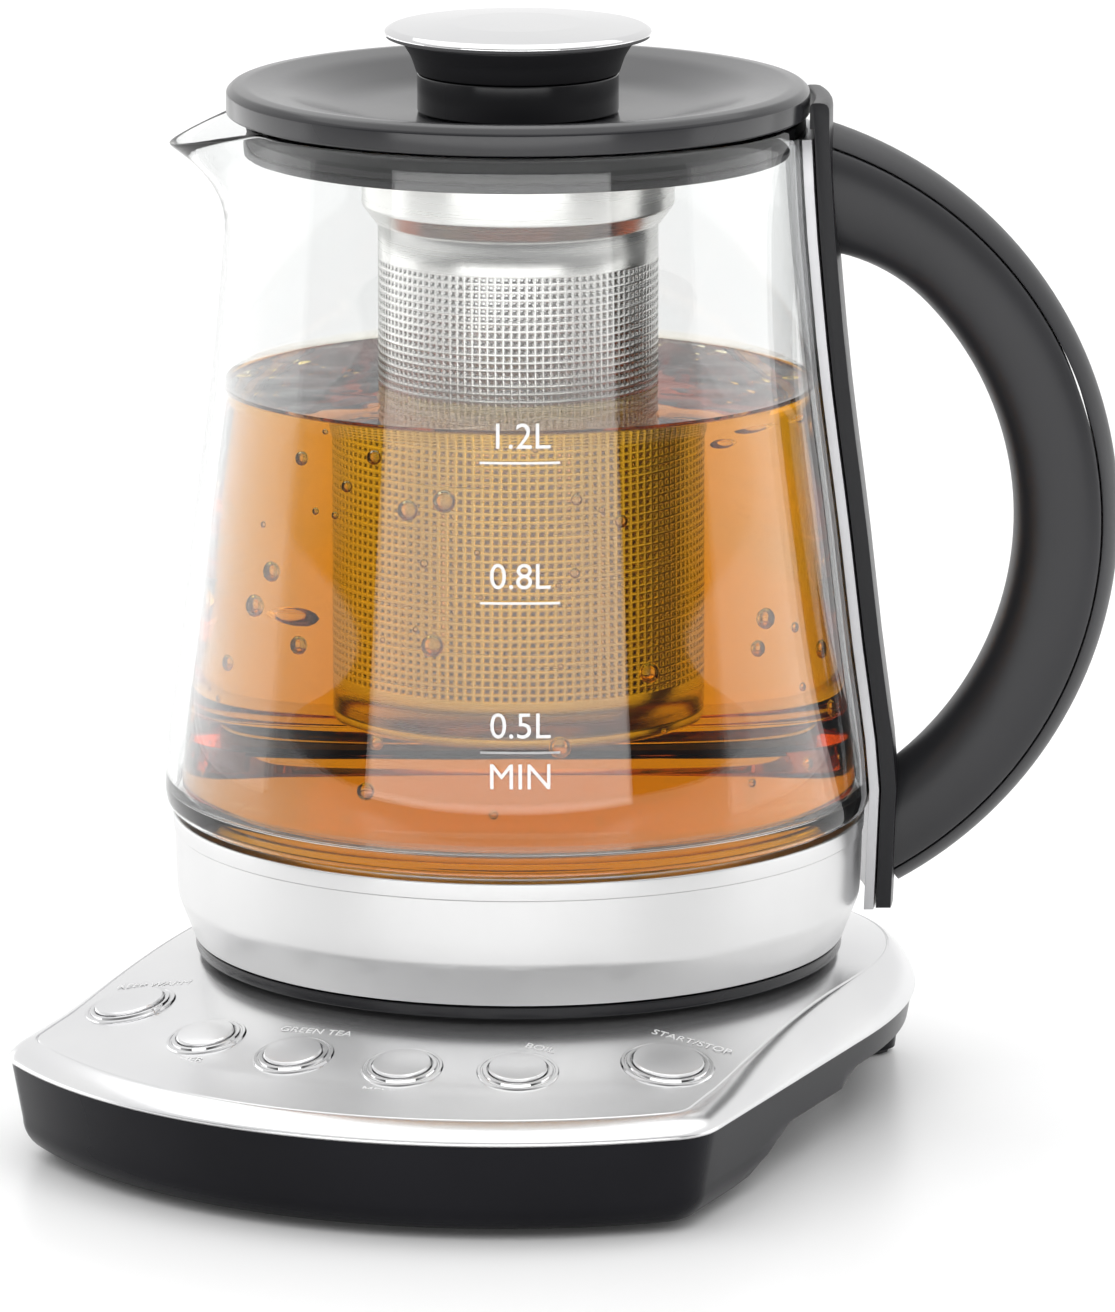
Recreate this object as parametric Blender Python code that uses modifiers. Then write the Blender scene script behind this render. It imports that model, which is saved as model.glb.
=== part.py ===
"""Electric tea kettle: a glass carafe with a lid and a steel infuser, on a powered base.

The base stands square to the axes: +X is its right side, -Y its front, +Z up, and z = 0 is the
surface that it stands on. The carafe, its lid and the infuser turn together about the kettle's own
upright axis and rest at KETTLE_TURN. A place on the base is given as (right, forward) from that
axis, so forward is -Y. Lengths are in metres.
"""

import math

import bmesh
import bpy
from mathutils import Matrix, Vector

MM = 0.001

# Clearances and facets shared by all pieces
GAP = 0.3 * MM
OVERRUN = 2.0 * MM
MERGE = 0.01 * MM
SHARP_ANGLE = math.radians(35)
BIG_STEPS = 24
GLASS_STEPS = 28
MID_STEPS = 16
KNOB_STEPS = 20
SMALL_STEPS = 12
SCREW_STEPS = 8

# How the kettle stands on the base
KETTLE_TURN = math.radians(24)

# Base outline, from the kettle's axis
BASE_HALF_WIDTH = 80.0 * MM
BASE_FRONT_REACH = 120.0 * MM
BASE_BACK_REACH = 96.0 * MM
FRONT_ARC_RADIUS = 113.0 * MM
FRONT_CORNER_RADIUS = 14.0 * MM
BACK_SQUARENESS = 2.6
FRONT_ARC_POINTS = 5
FRONT_CORNER_POINTS = 3
SIDE_POINTS = 2
BACK_POINTS = 6

# Base top plate: a flat seat, a panel that falls away from it and a rounded shoulder
SEAT_Z = 34.0 * MM
SEAT_RADIUS = 64.0 * MM
SHOULDER_WIDTH = 4.5 * MM
SHOULDER_POINTS = 3
PLATE_EDGE_Z = 21.0 * MM
PLATE_THICKNESS = 1.0 * MM
PANEL_FRONT_RISE = 1.4 * MM
PANEL_FALL = SEAT_Z - PLATE_EDGE_Z - PANEL_FRONT_RISE
PANEL_SLOPE = math.atan(PANEL_FALL / (BASE_FRONT_REACH - SHOULDER_WIDTH - SEAT_RADIUS))

# Buttons: places on a ring about the kettle's axis, measured from straight ahead
BUTTON_RING_SHARE = 0.4375
BUTTON_RING_RADIUS = SEAT_RADIUS + BUTTON_RING_SHARE * (BASE_FRONT_REACH - SEAT_RADIUS)
BUTTON_SPREAD_SHARE = 0.84954
BUTTON_SPREAD = BUTTON_SPREAD_SHARE * BASE_HALF_WIDTH / BUTTON_RING_RADIUS
BUTTON_ANGLE_SHARES = (-1.0, -0.5364, -0.1818, 0.1818, 0.5364, 1.0)
BUTTON_ANGLES = tuple(BUTTON_SPREAD * share for share in BUTTON_ANGLE_SHARES)
LARGE_CAP_RADIUS = 7.5 * MM
SMALL_CAP_RADIUS = 6.2 * MM
LARGE_BUTTONS = (1, 6)
BEZEL_LIP = 2.0 * MM
BEZEL_FLAT_SHARE = 0.7
BEZEL_SLEEVE = 0.9 * MM
BEZEL_LIP_HEIGHT = 0.7 * MM
BEZEL_DEPTH = 3.2 * MM
CAP_PROUD = 1.1 * MM
CAP_CHAMFER = 0.7 * MM
CAP_DEPTH = 2.8 * MM
STEM_RADIUS = 1.8 * MM
STEM_DEPTH = 11.4 * MM
BUTTON_TRAVEL = 0.8 * MM
GUIDE_WALL = 1.4 * MM
GUIDE_SINK = 1.2 * MM

# Control board under the buttons
CONTROL_BOARD_Z = 10.7 * MM
BOARD_THICKNESS = 1.6 * MM
CONTROL_BOARD_INWARD = 11.5 * MM
CONTROL_BOARD_OUTWARD = 5.5 * MM
CONTROL_BOARD_INNER = BUTTON_RING_RADIUS - CONTROL_BOARD_INWARD
CONTROL_BOARD_OUTER = BUTTON_RING_RADIUS + CONTROL_BOARD_OUTWARD
CONTROL_BOARD_BEYOND_BUTTONS = math.radians(6)
CONTROL_BOARD_HALF_ANGLE = BUTTON_SPREAD + CONTROL_BOARD_BEYOND_BUTTONS
CONTROL_BOARD_POINTS = 7
SWITCH_SIDE = 6.0 * MM
SWITCH_HEIGHT = 3.5 * MM
BOARD_POST_RADIUS = 2.2 * MM
BOARD_POST_ANGLE_SHARES = (-0.7727, 0.0, 0.7727)
BOARD_POST_ANGLES = tuple(BUTTON_SPREAD * share for share in BOARD_POST_ANGLE_SHARES)

# Base housing: a tray with a deep front and a raised back, on two legs
HOUSING_WALL = 2.4 * MM
HOUSING_INSET = 0.6 * MM
HOUSING_BOTTOM_Z = 1.2 * MM
HOUSING_TAPER = 2.2 * MM
HOUSING_ROUND = 7.0 * MM
HOUSING_ROUND_POINTS = 3
POD_BEYOND_BOARD = 10.5 * MM
POD_END = CONTROL_BOARD_INNER * math.cos(CONTROL_BOARD_HALF_ANGLE) + POD_BEYOND_BOARD
POD_SLOPE_RUN = 24.0 * MM
MIDDLE_UNDERSIDE_Z = 11.5 * MM
MIDDLE_END = 8.0 * MM
BACK_SLOPE_RUN = 8.0 * MM
BACK_UNDERSIDE_Z = 15.0 * MM
LEG_TOP_RADIUS = 8.0 * MM
LEG_BOTTOM_RADIUS = 6.4 * MM
FOOT_RADIUS = 5.0 * MM
FRONT_FOOT_RADIUS = 6.0 * MM
FOOT_PROUD = HOUSING_BOTTOM_Z
FOOT_RECESS = 1.2 * MM
FRONT_FOOT_SIDE_MARGIN = 22.0 * MM
FRONT_FOOT_MARGIN = 40.0 * MM
REAR_FOOT_SIDE_MARGIN = 26.0 * MM
REAR_FOOT_MARGIN = 30.0 * MM

# Base frame: a deck inside the base with screw bosses, a tower and the button guides
DECK_BELOW_EDGE = 2.8 * MM
DECK_Z = PLATE_EDGE_Z - DECK_BELOW_EDGE
DECK_THICKNESS = 2.0 * MM
BOSS_RADIUS = 3.6 * MM
BOSS_TOP_Z = 26.0 * MM
SCREW_RADIUS = 1.3 * MM
SCREW_HEAD_RADIUS = 2.8 * MM
SCREW_HEAD_HEIGHT = 1.6 * MM
SCREW_THREAD_LENGTH = 7.0 * MM
HEAD_RECESS = 1.0 * MM
FRONT_SCREW_RIGHT = 30.0 * MM
FRONT_SCREW_MARGIN = 22.0 * MM
REAR_SCREW_SIDE_MARGIN = 30.0 * MM
REAR_SCREW_BACK = 30.0 * MM
TOWER_WALL = 3.0 * MM

# Power board on the base frame
POWER_BOARD_WIDTH = 74.0 * MM
POWER_BOARD_DEPTH = 28.0 * MM
POWER_BOARD_FORWARD = 44.0 * MM
RELAY_SIZE = (19.0 * MM, 15.0 * MM, 6.5 * MM)
RELAY_RIGHT = -18.0 * MM
CAPACITOR_RADIUS = 4.0 * MM
CAPACITOR_HEIGHT = 7.0 * MM
CAPACITOR_RIGHT = 20.0 * MM

# Cord inlet through the sloping back of the deep front
INLET_Z = 8.8 * MM
INLET_OUTER_RADIUS = 4.0 * MM
INLET_BORE_RADIUS = 3.1 * MM
INLET_FLANGE_RADIUS = 4.9 * MM
INLET_FLANGE = 1.2 * MM
INLET_LENGTH = 25.0 * MM
INLET_SETBACK = 21.0 * MM
INLET_BACK_END = POD_END - INLET_SETBACK

# Connector on the base
CONNECTOR_RADIUS = 15.0 * MM
CONNECTOR_FLANGE_WIDTH = 2.5 * MM
CONNECTOR_FLANGE_RADIUS = CONNECTOR_RADIUS + CONNECTOR_FLANGE_WIDTH
CONNECTOR_FLANGE = 2.0 * MM
CONNECTOR_DEPTH = 11.0 * MM
CONNECTOR_PROUD = 0.2 * MM
CONNECTOR_HEIGHT = 10.0 * MM
CONNECTOR_TOP_Z = SEAT_Z + CONNECTOR_HEIGHT
CONNECTOR_SHOULDER = 2.6 * MM
CONNECTOR_WALL = 1.5 * MM
CONNECTOR_WALL_OUTER = CONNECTOR_RADIUS - CONNECTOR_SHOULDER
CONNECTOR_WALL_INNER = CONNECTOR_WALL_OUTER - CONNECTOR_WALL
CONNECTOR_CORE_RADIUS = 4.2 * MM
CONNECTOR_GROOVE_RISE = 2.0 * MM
CONNECTOR_GROOVE_Z = SEAT_Z + CONNECTOR_GROOVE_RISE
CONTACT_THICKNESS = 0.6 * MM
CONTACT_DROP = 1.2 * MM
PIN_RADIUS = 1.4 * MM
PIN_SINK = 6.0 * MM
PIN_PROUD = 2.0 * MM
PIN_BOTTOM_Z = CONNECTOR_TOP_Z - PIN_SINK
PIN_TOP_Z = CONNECTOR_TOP_Z + PIN_PROUD

# Socket under the kettle, clear of the connector all round
SOCKET_RISE = 1.2 * MM
SOCKET_ROOM = 3.0 * MM
SOCKET_ROOF = 4.0 * MM
SOCKET_SIDE_GAP = 0.8 * MM
SOCKET_WALL = 5.8 * MM
SOCKET_FLANGE_WIDTH = 3.0 * MM
SOCKET_FLANGE = 1.8 * MM
SOCKET_SLEEVE_GAP = 1.1 * MM
SOCKET_PIN_ROOM = 1.0 * MM
SOCKET_BOTTOM_Z = SEAT_Z + SOCKET_RISE
SOCKET_RECESS_Z = CONNECTOR_TOP_Z + SOCKET_ROOM
SOCKET_TOP_Z = SOCKET_RECESS_Z + SOCKET_ROOF
SOCKET_RECESS_RADIUS = CONNECTOR_WALL_OUTER + SOCKET_SIDE_GAP
SOCKET_RADIUS = SOCKET_RECESS_RADIUS + SOCKET_WALL
SOCKET_FLANGE_RADIUS = SOCKET_RADIUS + SOCKET_FLANGE_WIDTH
SOCKET_SLEEVE_OUTER = CONNECTOR_WALL_INNER - GAP - CONTACT_THICKNESS - SOCKET_SLEEVE_GAP
SOCKET_SLEEVE_INNER = CONNECTOR_CORE_RADIUS + GAP + CONTACT_THICKNESS + SOCKET_SLEEVE_GAP
SOCKET_SLEEVE_Z = CONNECTOR_GROOVE_Z + SOCKET_PIN_ROOM
SOCKET_PIN_RADIUS = PIN_RADIUS + SOCKET_PIN_ROOM
SOCKET_PIN_Z = PIN_TOP_Z + SOCKET_ROOM

# Glass, whose width carries down into the band and up into the lid
GLASS_WALL = 2.2 * MM
GLASS_HEIGHT = 148.7 * MM
GLASS_RIM_RADIUS = 60.5 * MM
GLASS_BELLY_RADIUS = 75.4 * MM
GLASS_HEEL_HEIGHT = 5.7 * MM
GLASS_HEEL_WIDTH = 4.4 * MM
GLASS_FLOOR_WIDTH = 5.0 * MM
GLASS_HEEL_RADIUS = GLASS_BELLY_RADIUS - GLASS_HEEL_WIDTH
GLASS_MOUTH_RADIUS = GLASS_HEEL_RADIUS - GLASS_FLOOR_WIDTH
GLASS_FLARE_SHARES = ((0.0, 0.0), (0.25, 0.165), (0.42, 0.34), (0.67, 0.64), (0.92, 0.935), (1.0, 1.0))
GLASS_HEEL_POINTS = 3

# Steel band round the kettle's foot
BAND_LIFT = 3.9 * MM
BAND_HEIGHT = 26.5 * MM
BAND_CURVE_HEIGHT = 7.6 * MM
BAND_INSET = 1.5 * MM
BAND_TAPER = 0.9 * MM
BAND_TUCK = 3.4 * MM
BAND_LEDGE = 4.3 * MM
BAND_THICKNESS = 0.9 * MM
BAND_CURVE_POINTS = 3
BAND_BOTTOM_Z = SEAT_Z + BAND_LIFT
BAND_CURVE_Z = BAND_BOTTOM_Z + BAND_CURVE_HEIGHT
BAND_TOP_Z = BAND_BOTTOM_Z + BAND_HEIGHT
BAND_TOP_RADIUS = GLASS_BELLY_RADIUS - BAND_INSET
BAND_CURVE_RADIUS = BAND_TOP_RADIUS - BAND_TAPER
BAND_BOTTOM_RADIUS = BAND_TOP_RADIUS - BAND_TUCK
BAND_LEDGE_RADIUS = BAND_TOP_RADIUS - BAND_LEDGE

# Kettle underbody cover, whose rim is the kettle's foot
FOOT_RING_INSET = 0.2 * MM
FOOT_RING_BEVEL = 7.3 * MM
FOOT_RING_WIDTH = 11.0 * MM
FOOT_RING_EDGE = 1.3 * MM
FOOT_RING_OUTER = BAND_BOTTOM_RADIUS - FOOT_RING_INSET
FOOT_RING_FLAT = FOOT_RING_OUTER - FOOT_RING_BEVEL
FOOT_RING_INNER = FOOT_RING_FLAT - FOOT_RING_WIDTH
FOOT_RING_EDGE_Z = SEAT_Z + FOOT_RING_EDGE
COVER_RISE = 2.0 * MM
COVER_THICKNESS = 2.0 * MM
COVER_RIM_HEIGHT = 8.0 * MM
COVER_RIM_WALL = 1.8 * MM
COVER_UNDERSIDE_Z = SEAT_Z + COVER_RISE
COVER_RIM_Z = COVER_UNDERSIDE_Z + COVER_RIM_HEIGHT
COVER_SCREW_COUNT = 3

# How high the glass stands on its band
GLASS_SEAT_GAP = 0.4 * MM
GLASS_BOTTOM_Z = BAND_TOP_Z + GLASS_SEAT_GAP
GLASS_BELLY_Z = GLASS_BOTTOM_Z + GLASS_HEEL_HEIGHT
GLASS_RIM_Z = GLASS_BOTTOM_Z + GLASS_HEIGHT

# Spout pulled out of the rim, opposite the handle
SPOUT_REACH = 13.6 * MM
SPOUT_DROP = 6.0 * MM
SPOUT_HEIGHT = 26.0 * MM
SPOUT_HALF_ANGLE = math.radians(30)
SPOUT_CURVE = 2.4
SPOUT_RINGS = 3

# Heater under the glass
SEAL_HEIGHT = 1.1 * MM
SEAL_OVERLAP = 2.0 * MM
SEAL_INNER_RADIUS = GLASS_MOUTH_RADIUS - SEAL_OVERLAP
HEATER_PLATE_THICKNESS = 1.6 * MM
HEATER_PLATE_RADIUS = BAND_LEDGE_RADIUS - GAP - GAP
HEATER_POST_RADIUS = 3.4 * MM
ELEMENT_MARGIN = 23.0 * MM
ELEMENT_RING_RADIUS = HEATER_PLATE_RADIUS - ELEMENT_MARGIN
ELEMENT_TUBE_RADIUS = 3.6 * MM
ELEMENT_OPEN_ANGLE = math.radians(34)
ELEMENT_STEPS = 15
COVER_SCREW_RING = (SOCKET_FLANGE_RADIUS + ELEMENT_RING_RADIUS) / 2
SENSOR_RADIUS = 5.0 * MM
SENSOR_HEIGHT = 5.0 * MM
FUSE_SIZE = (16.0 * MM, 6.0 * MM, 4.0 * MM)
FUSE_RADIUS = 22.0 * MM

# Lid, over the glass's rim
LID_OVERHANG = 0.9 * MM
LID_LIFT = 0.5 * MM
LID_EDGE_HEIGHT = 5.1 * MM
LID_HEIGHT = 5.9 * MM
LID_RIM_INSET = 3.8 * MM
LID_DISH_RISE = 0.2 * MM
LID_DISH_MARGIN = 2.8 * MM
LID_DISH_POINTS = 3
LID_SHOULDER_SHARES = (0.6, 0.35)
LID_THICKNESS = 2.2 * MM
LID_SKIRT_WALL = 2.4 * MM
LID_RADIUS = GLASS_RIM_RADIUS + LID_OVERHANG
LID_EDGE_Z = GLASS_RIM_Z + LID_LIFT
LID_CREASE_Z = LID_EDGE_Z + LID_EDGE_HEIGHT
LID_RIM_Z = LID_EDGE_Z + LID_HEIGHT
LID_RIM_RADIUS = LID_RADIUS - LID_RIM_INSET
LID_DISH_Z = LID_EDGE_Z + LID_DISH_RISE

# Plug that hangs from the lid into the glass, with its seal
PLUG_SIDE_GAP = 2.7 * MM
PLUG_DEPTH = 8.4 * MM
PLUG_HEIGHT = 7.2 * MM
PLUG_WALL = 1.8 * MM
PLUG_FLANGE = 1.6 * MM
SEAL_BELOW_TOP = 0.8 * MM
SEAL_WIDTH = 2.0 * MM
SEAL_WAIST_SHARE = 0.4
PLUG_RADIUS = GLASS_RIM_RADIUS - GLASS_WALL - PLUG_SIDE_GAP
PLUG_BOTTOM_Z = LID_EDGE_Z - PLUG_DEPTH
PLUG_WALL_TOP_Z = PLUG_BOTTOM_Z + PLUG_HEIGHT
PLUG_FLANGE_RADIUS = PLUG_RADIUS + PLUG_FLANGE
PLUG_SEAL_TOP_Z = PLUG_WALL_TOP_Z - SEAL_BELOW_TOP
PLUG_SEAL_RADIUS = PLUG_RADIUS + SEAL_WIDTH

# Knob
KNOB_NECK_RADIUS = 21.2 * MM
KNOB_NECK_HEIGHT = 8.0 * MM
KNOB_COLLAR_FLARE = 3.7 * MM
KNOB_COLLAR_HEIGHT = 7.4 * MM
KNOB_COLLAR_POINTS = 3
KNOB_DISC_OVERHANG = 3.3 * MM
KNOB_DISC_EDGE = 1.7 * MM
KNOB_DISC_HEIGHT = 3.4 * MM
KNOB_WALL = 2.2 * MM
KNOB_SCREW_RADIUS = 2.0 * MM
KNOB_SCREW_HEAD = 4.5 * MM
KNOB_BOSS_RADIUS = 5.5 * MM
KNOB_NECK_TOP_Z = LID_DISH_Z + KNOB_NECK_HEIGHT
KNOB_COLLAR_RADIUS = KNOB_NECK_RADIUS + KNOB_COLLAR_FLARE
KNOB_COLLAR_TOP_Z = KNOB_NECK_TOP_Z + KNOB_COLLAR_HEIGHT
KNOB_DISC_RADIUS = KNOB_COLLAR_RADIUS + KNOB_DISC_OVERHANG
KNOB_DISC_EDGE_Z = KNOB_COLLAR_TOP_Z + KNOB_DISC_EDGE
KNOB_DISC_TOP_Z = KNOB_COLLAR_TOP_Z + KNOB_DISC_HEIGHT
LID_DISH_RADIUS = KNOB_NECK_RADIUS + LID_DISH_MARGIN

# Strips that carry the handle: a metal trim on the glass and a bracket over it
TRIM_THICKNESS = 2.0 * MM
TRIM_HALF_WIDTH = 14.5 * MM
TRIM_BELOW_RIM = 3.5 * MM
TRIM_TOP_Z = GLASS_RIM_Z - TRIM_BELOW_RIM
STRIP_LIFT = 6.6 * MM
STRIP_BOTTOM_Z = BAND_BOTTOM_Z + STRIP_LIFT
STRIP_BOTTOM_INSET = 1.0 * MM
BRACKET_THICKNESS = 3.1 * MM
BRACKET_HALF_WIDTH = 13.0 * MM
BRACKET_BELOW_RIM = 1.5 * MM
BRACKET_CURL_HEIGHT = 5.5 * MM
BRACKET_CURL_ROUND = 1.4 * MM
BRACKET_LID_GAP = 0.9 * MM
BRACKET_CURL_Z = GLASS_RIM_Z - BRACKET_BELOW_RIM
BRACKET_TOP_Z = BRACKET_CURL_Z + BRACKET_CURL_HEIGHT
BRACKET_CURL_RADIUS = LID_RADIUS + BRACKET_LID_GAP
BRACKET_GAP = GAP + TRIM_THICKNESS + GAP

# Handle: a round arch along the bracket, with a cover let into its back
HANDLE_CENTRE_SHARE = 0.474
HANDLE_RADIUS_SHARE = 0.4526
HANDLE_CENTRE_INSET = 37.4 * MM
HANDLE_CENTRE_X = GLASS_BELLY_RADIUS - HANDLE_CENTRE_INSET
HANDLE_CENTRE_Z = STRIP_BOTTOM_Z + HANDLE_CENTRE_SHARE * (BRACKET_TOP_Z - STRIP_BOTTOM_Z)
HANDLE_RADIUS = HANDLE_RADIUS_SHARE * (BRACKET_TOP_Z - STRIP_BOTTOM_Z)
HANDLE_TOP_ANGLE = math.radians(74)
HANDLE_BOTTOM_ANGLE = math.radians(-61)
HANDLE_HALF_THICKNESS = 11.6 * MM
HANDLE_HALF_WIDTH = 11.0 * MM
HANDLE_ROOT_FLARE = 7.0 * MM
HANDLE_ROOT_SHARE = 0.22
HANDLE_COVER_OFFSET = 7.1 * MM
HANDLE_STATIONS = 15
HANDLE_SECTION_POINTS = 14
HANDLE_ROUNDNESS = 2.3
HANDLE_SCREW_RADIUS = 1.6 * MM
HANDLE_SCREW_HEAD = 3.4 * MM
HANDLE_SCREW_HEAD_HEIGHT = 1.2 * MM
HANDLE_SCREW_INSET = 0.9 * MM
HANDLE_SCREW_LENGTH = 12.0 * MM
HANDLE_SCREW_TOP_MARGIN = 21.5 * MM
HANDLE_SCREW_BOTTOM_MARGIN = 19.5 * MM

# Bayonet that hangs the infuser under the plug
MOUNT_RADIUS = 30.2 * MM
MOUNT_WALL = 2.2 * MM
MOUNT_DEPTH = 8.6 * MM
MOUNT_PLATE = 2.3 * MM
LUG_WIDTH = 1.5 * MM
LUG_HEIGHT = 1.5 * MM
LUG_HALF_ANGLE = math.radians(11)
LUG_COUNT = 3
LOCK_RING_DEPTH = 4.8 * MM
LOCK_RING_THICKNESS = 1.2 * MM
LOCK_RING_CLEARANCE = 0.4 * MM
LOCK_GAP_HALF_ANGLE = math.radians(16)
WEDGE_POINTS = 5
MOUNT_BOTTOM_Z = PLUG_BOTTOM_Z - MOUNT_DEPTH
MOUNT_PLATE_Z = PLUG_BOTTOM_Z - MOUNT_PLATE
LUG_RADIUS = MOUNT_RADIUS + LUG_WIDTH
LOCK_RING_Z = PLUG_BOTTOM_Z - LOCK_RING_DEPTH
LOCK_RING_INNER = MOUNT_RADIUS + LOCK_RING_CLEARANCE

# Infuser: a collar, a tube and a cup at its bottom
INFUSER_WALL = 0.6 * MM
COLLAR_SIDE_GAP = 0.7 * MM
COLLAR_HEIGHT = 10.2 * MM
COLLAR_NECK_HEIGHT = 3.5 * MM
COLLAR_NECK_WIDTH = 3.4 * MM
INFUSER_ABOVE_GLASS_BOTTOM = 18.8 * MM
INFUSER_BOTTOM_HEIGHT = 2.6 * MM
INFUSER_BOTTOM_ROUND = 2.4 * MM
INFUSER_BOTTOM_RIM = 3.0 * MM
COLLAR_RADIUS = LUG_RADIUS + COLLAR_SIDE_GAP + INFUSER_WALL
COLLAR_TOP_Z = PLUG_BOTTOM_Z - GAP - GAP
COLLAR_BOTTOM_Z = COLLAR_TOP_Z - COLLAR_HEIGHT
TUBE_RADIUS = COLLAR_RADIUS - COLLAR_NECK_WIDTH
TUBE_TOP_Z = MOUNT_BOTTOM_Z - GAP - GAP
TUBE_NECK_Z = COLLAR_BOTTOM_Z - COLLAR_NECK_HEIGHT
INFUSER_BOTTOM_Z = GLASS_BOTTOM_Z + INFUSER_ABOVE_GLASS_BOTTOM
TUBE_BOTTOM_Z = INFUSER_BOTTOM_Z + INFUSER_BOTTOM_HEIGHT


def clear_scene():
    for thing in list(bpy.data.objects):
        bpy.data.objects.remove(thing, do_unlink=True)


def collection(name):
    made = bpy.data.collections.new(name)
    bpy.context.scene.collection.children.link(made)
    return made


def finish(name, colour, roughness, metallic=0.0, alpha=1.0):
    made = bpy.data.materials.new(name)
    made.use_nodes = True
    shader = made.node_tree.nodes["Principled BSDF"]
    shader.inputs["Base Color"].default_value = (*colour, 1.0)
    shader.inputs["Roughness"].default_value = roughness
    shader.inputs["Metallic"].default_value = metallic
    shader.inputs["Alpha"].default_value = alpha
    made.diffuse_color = (*colour, alpha)
    return made


clear_scene()
PARTS = collection("electric_tea_kettle")
CUTTERS = collection("cutters")
STEEL = finish("brushed steel", (0.72, 0.72, 0.72), 0.32, 1.0)
POLISHED = finish("polished steel", (0.82, 0.82, 0.83), 0.08, 1.0)
GREY_METAL = finish("satin trim", (0.60, 0.60, 0.61), 0.38, 1.0)
CHARCOAL = finish("charcoal plastic", (0.055, 0.055, 0.062), 0.42)
BLACK = finish("black plastic", (0.012, 0.012, 0.014), 0.45)
GLASS = finish("clear glass", (0.93, 0.96, 0.96), 0.02, 0.0, 0.25)
RUBBER = finish("silicone", (0.03, 0.03, 0.03), 0.75)
BRASS = finish("contact brass", (0.72, 0.52, 0.24), 0.30, 1.0)
BOARD = finish("circuit board", (0.02, 0.16, 0.07), 0.55)


def empty(name, parent=None, place=(0.0, 0.0, 0.0), turn=(0.0, 0.0, 0.0)):
    made = bpy.data.objects.new(name, None)
    made.location = place
    made.rotation_euler = turn
    made.parent = parent
    PARTS.objects.link(made)
    return made


def part(name, mesh, material, parent):
    made = bpy.data.objects.new(name, mesh)
    made.parent = parent
    mesh.materials.append(material)
    PARTS.objects.link(made)
    return made


def guide(name, mesh, parent):
    """A shape that only cuts, joins or trims a part."""
    made = bpy.data.objects.new(name, mesh)
    made.parent = parent
    made.hide_render = True
    made.display_type = "WIRE"
    CUTTERS.objects.link(made)
    return made


def combine(target, tool, operation):
    change = target.modifiers.new(tool.name, "BOOLEAN")
    change.operation = operation
    change.solver = "EXACT"
    change.object = tool
    return change


def cut(target, tool):
    return combine(target, tool, "DIFFERENCE")


def join(target, tool):
    return combine(target, tool, "UNION")


def keep(target, tool):
    return combine(target, tool, "INTERSECT")


def outline_mesh(name, points, closed):
    """An outline in the XZ plane, ready to be turned about Z."""
    shape = bmesh.new()
    row = [shape.verts.new((radius, 0.0, height)) for radius, height in points]
    pairs = list(zip(row, row[1:]))
    if closed:
        pairs.append((row[-1], row[0]))
    for pair in pairs:
        shape.edges.new(pair)
    mesh = bpy.data.meshes.new(name)
    shape.to_mesh(mesh)
    shape.free()
    return mesh


def spin(made, steps):
    """Turns an outline about Z. The outline runs down its outer side."""
    turn = made.modifiers.new("turn", "SCREW")
    turn.axis = "Z"
    turn.angle = math.tau
    turn.steps = steps
    turn.render_steps = steps
    turn.use_merge_vertices = True
    turn.merge_threshold = MERGE
    turn.use_smooth_shade = True
    return made


def turned(name, points, material, parent, steps=BIG_STEPS, closed=False):
    return spin(part(name, outline_mesh(name, points, closed), material, parent), steps)


def turned_guide(name, points, parent, steps=BIG_STEPS, closed=False):
    return spin(guide(name, outline_mesh(name, points, closed), parent), steps)


def wall(made, thickness):
    """Gives an open surface its thickness, on its inner side."""
    shell = made.modifiers.new("wall", "SOLIDIFY")
    shell.thickness = thickness
    shell.offset = -1.0
    shell.use_even_offset = True
    return made


def rod_mesh(name, radius, low, high, steps, top_radius=None):
    shape = bmesh.new()
    middle = Matrix.Translation((0.0, 0.0, (low + high) / 2))
    bmesh.ops.create_cone(shape, cap_ends=True, segments=steps, radius1=radius,
                          radius2=radius if top_radius is None else top_radius,
                          depth=high - low, matrix=middle)
    mesh = bpy.data.meshes.new(name)
    shape.to_mesh(mesh)
    shape.free()
    return mesh


def block_mesh(name, size, centre):
    shape = bmesh.new()
    place = Matrix.Translation(centre) @ Matrix.Diagonal((*size, 1.0))
    bmesh.ops.create_cube(shape, size=1.0, matrix=place)
    mesh = bpy.data.meshes.new(name)
    shape.to_mesh(mesh)
    shape.free()
    return mesh


def loft_mesh(name, rings, close_ends):
    """Skins a row of rings with as many points each, the first ring lowest or outermost."""
    shape = bmesh.new()
    rows = [[shape.verts.new(point) for point in ring] for ring in rings]
    for low, high in zip(rows, rows[1:]):
        for here in range(len(low)):
            there = (here + 1) % len(low)
            shape.faces.new((low[here], low[there], high[there], high[here]))
    if close_ends:
        shape.faces.new(reversed(rows[0]))
        shape.faces.new(rows[-1])
        bmesh.ops.recalc_face_normals(shape, faces=shape.faces)
    mesh = bpy.data.meshes.new(name)
    shape.to_mesh(mesh)
    shape.free()
    mesh.shade_smooth()
    mesh.set_sharp_from_angle(angle=SHARP_ANGLE)
    return mesh


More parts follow.
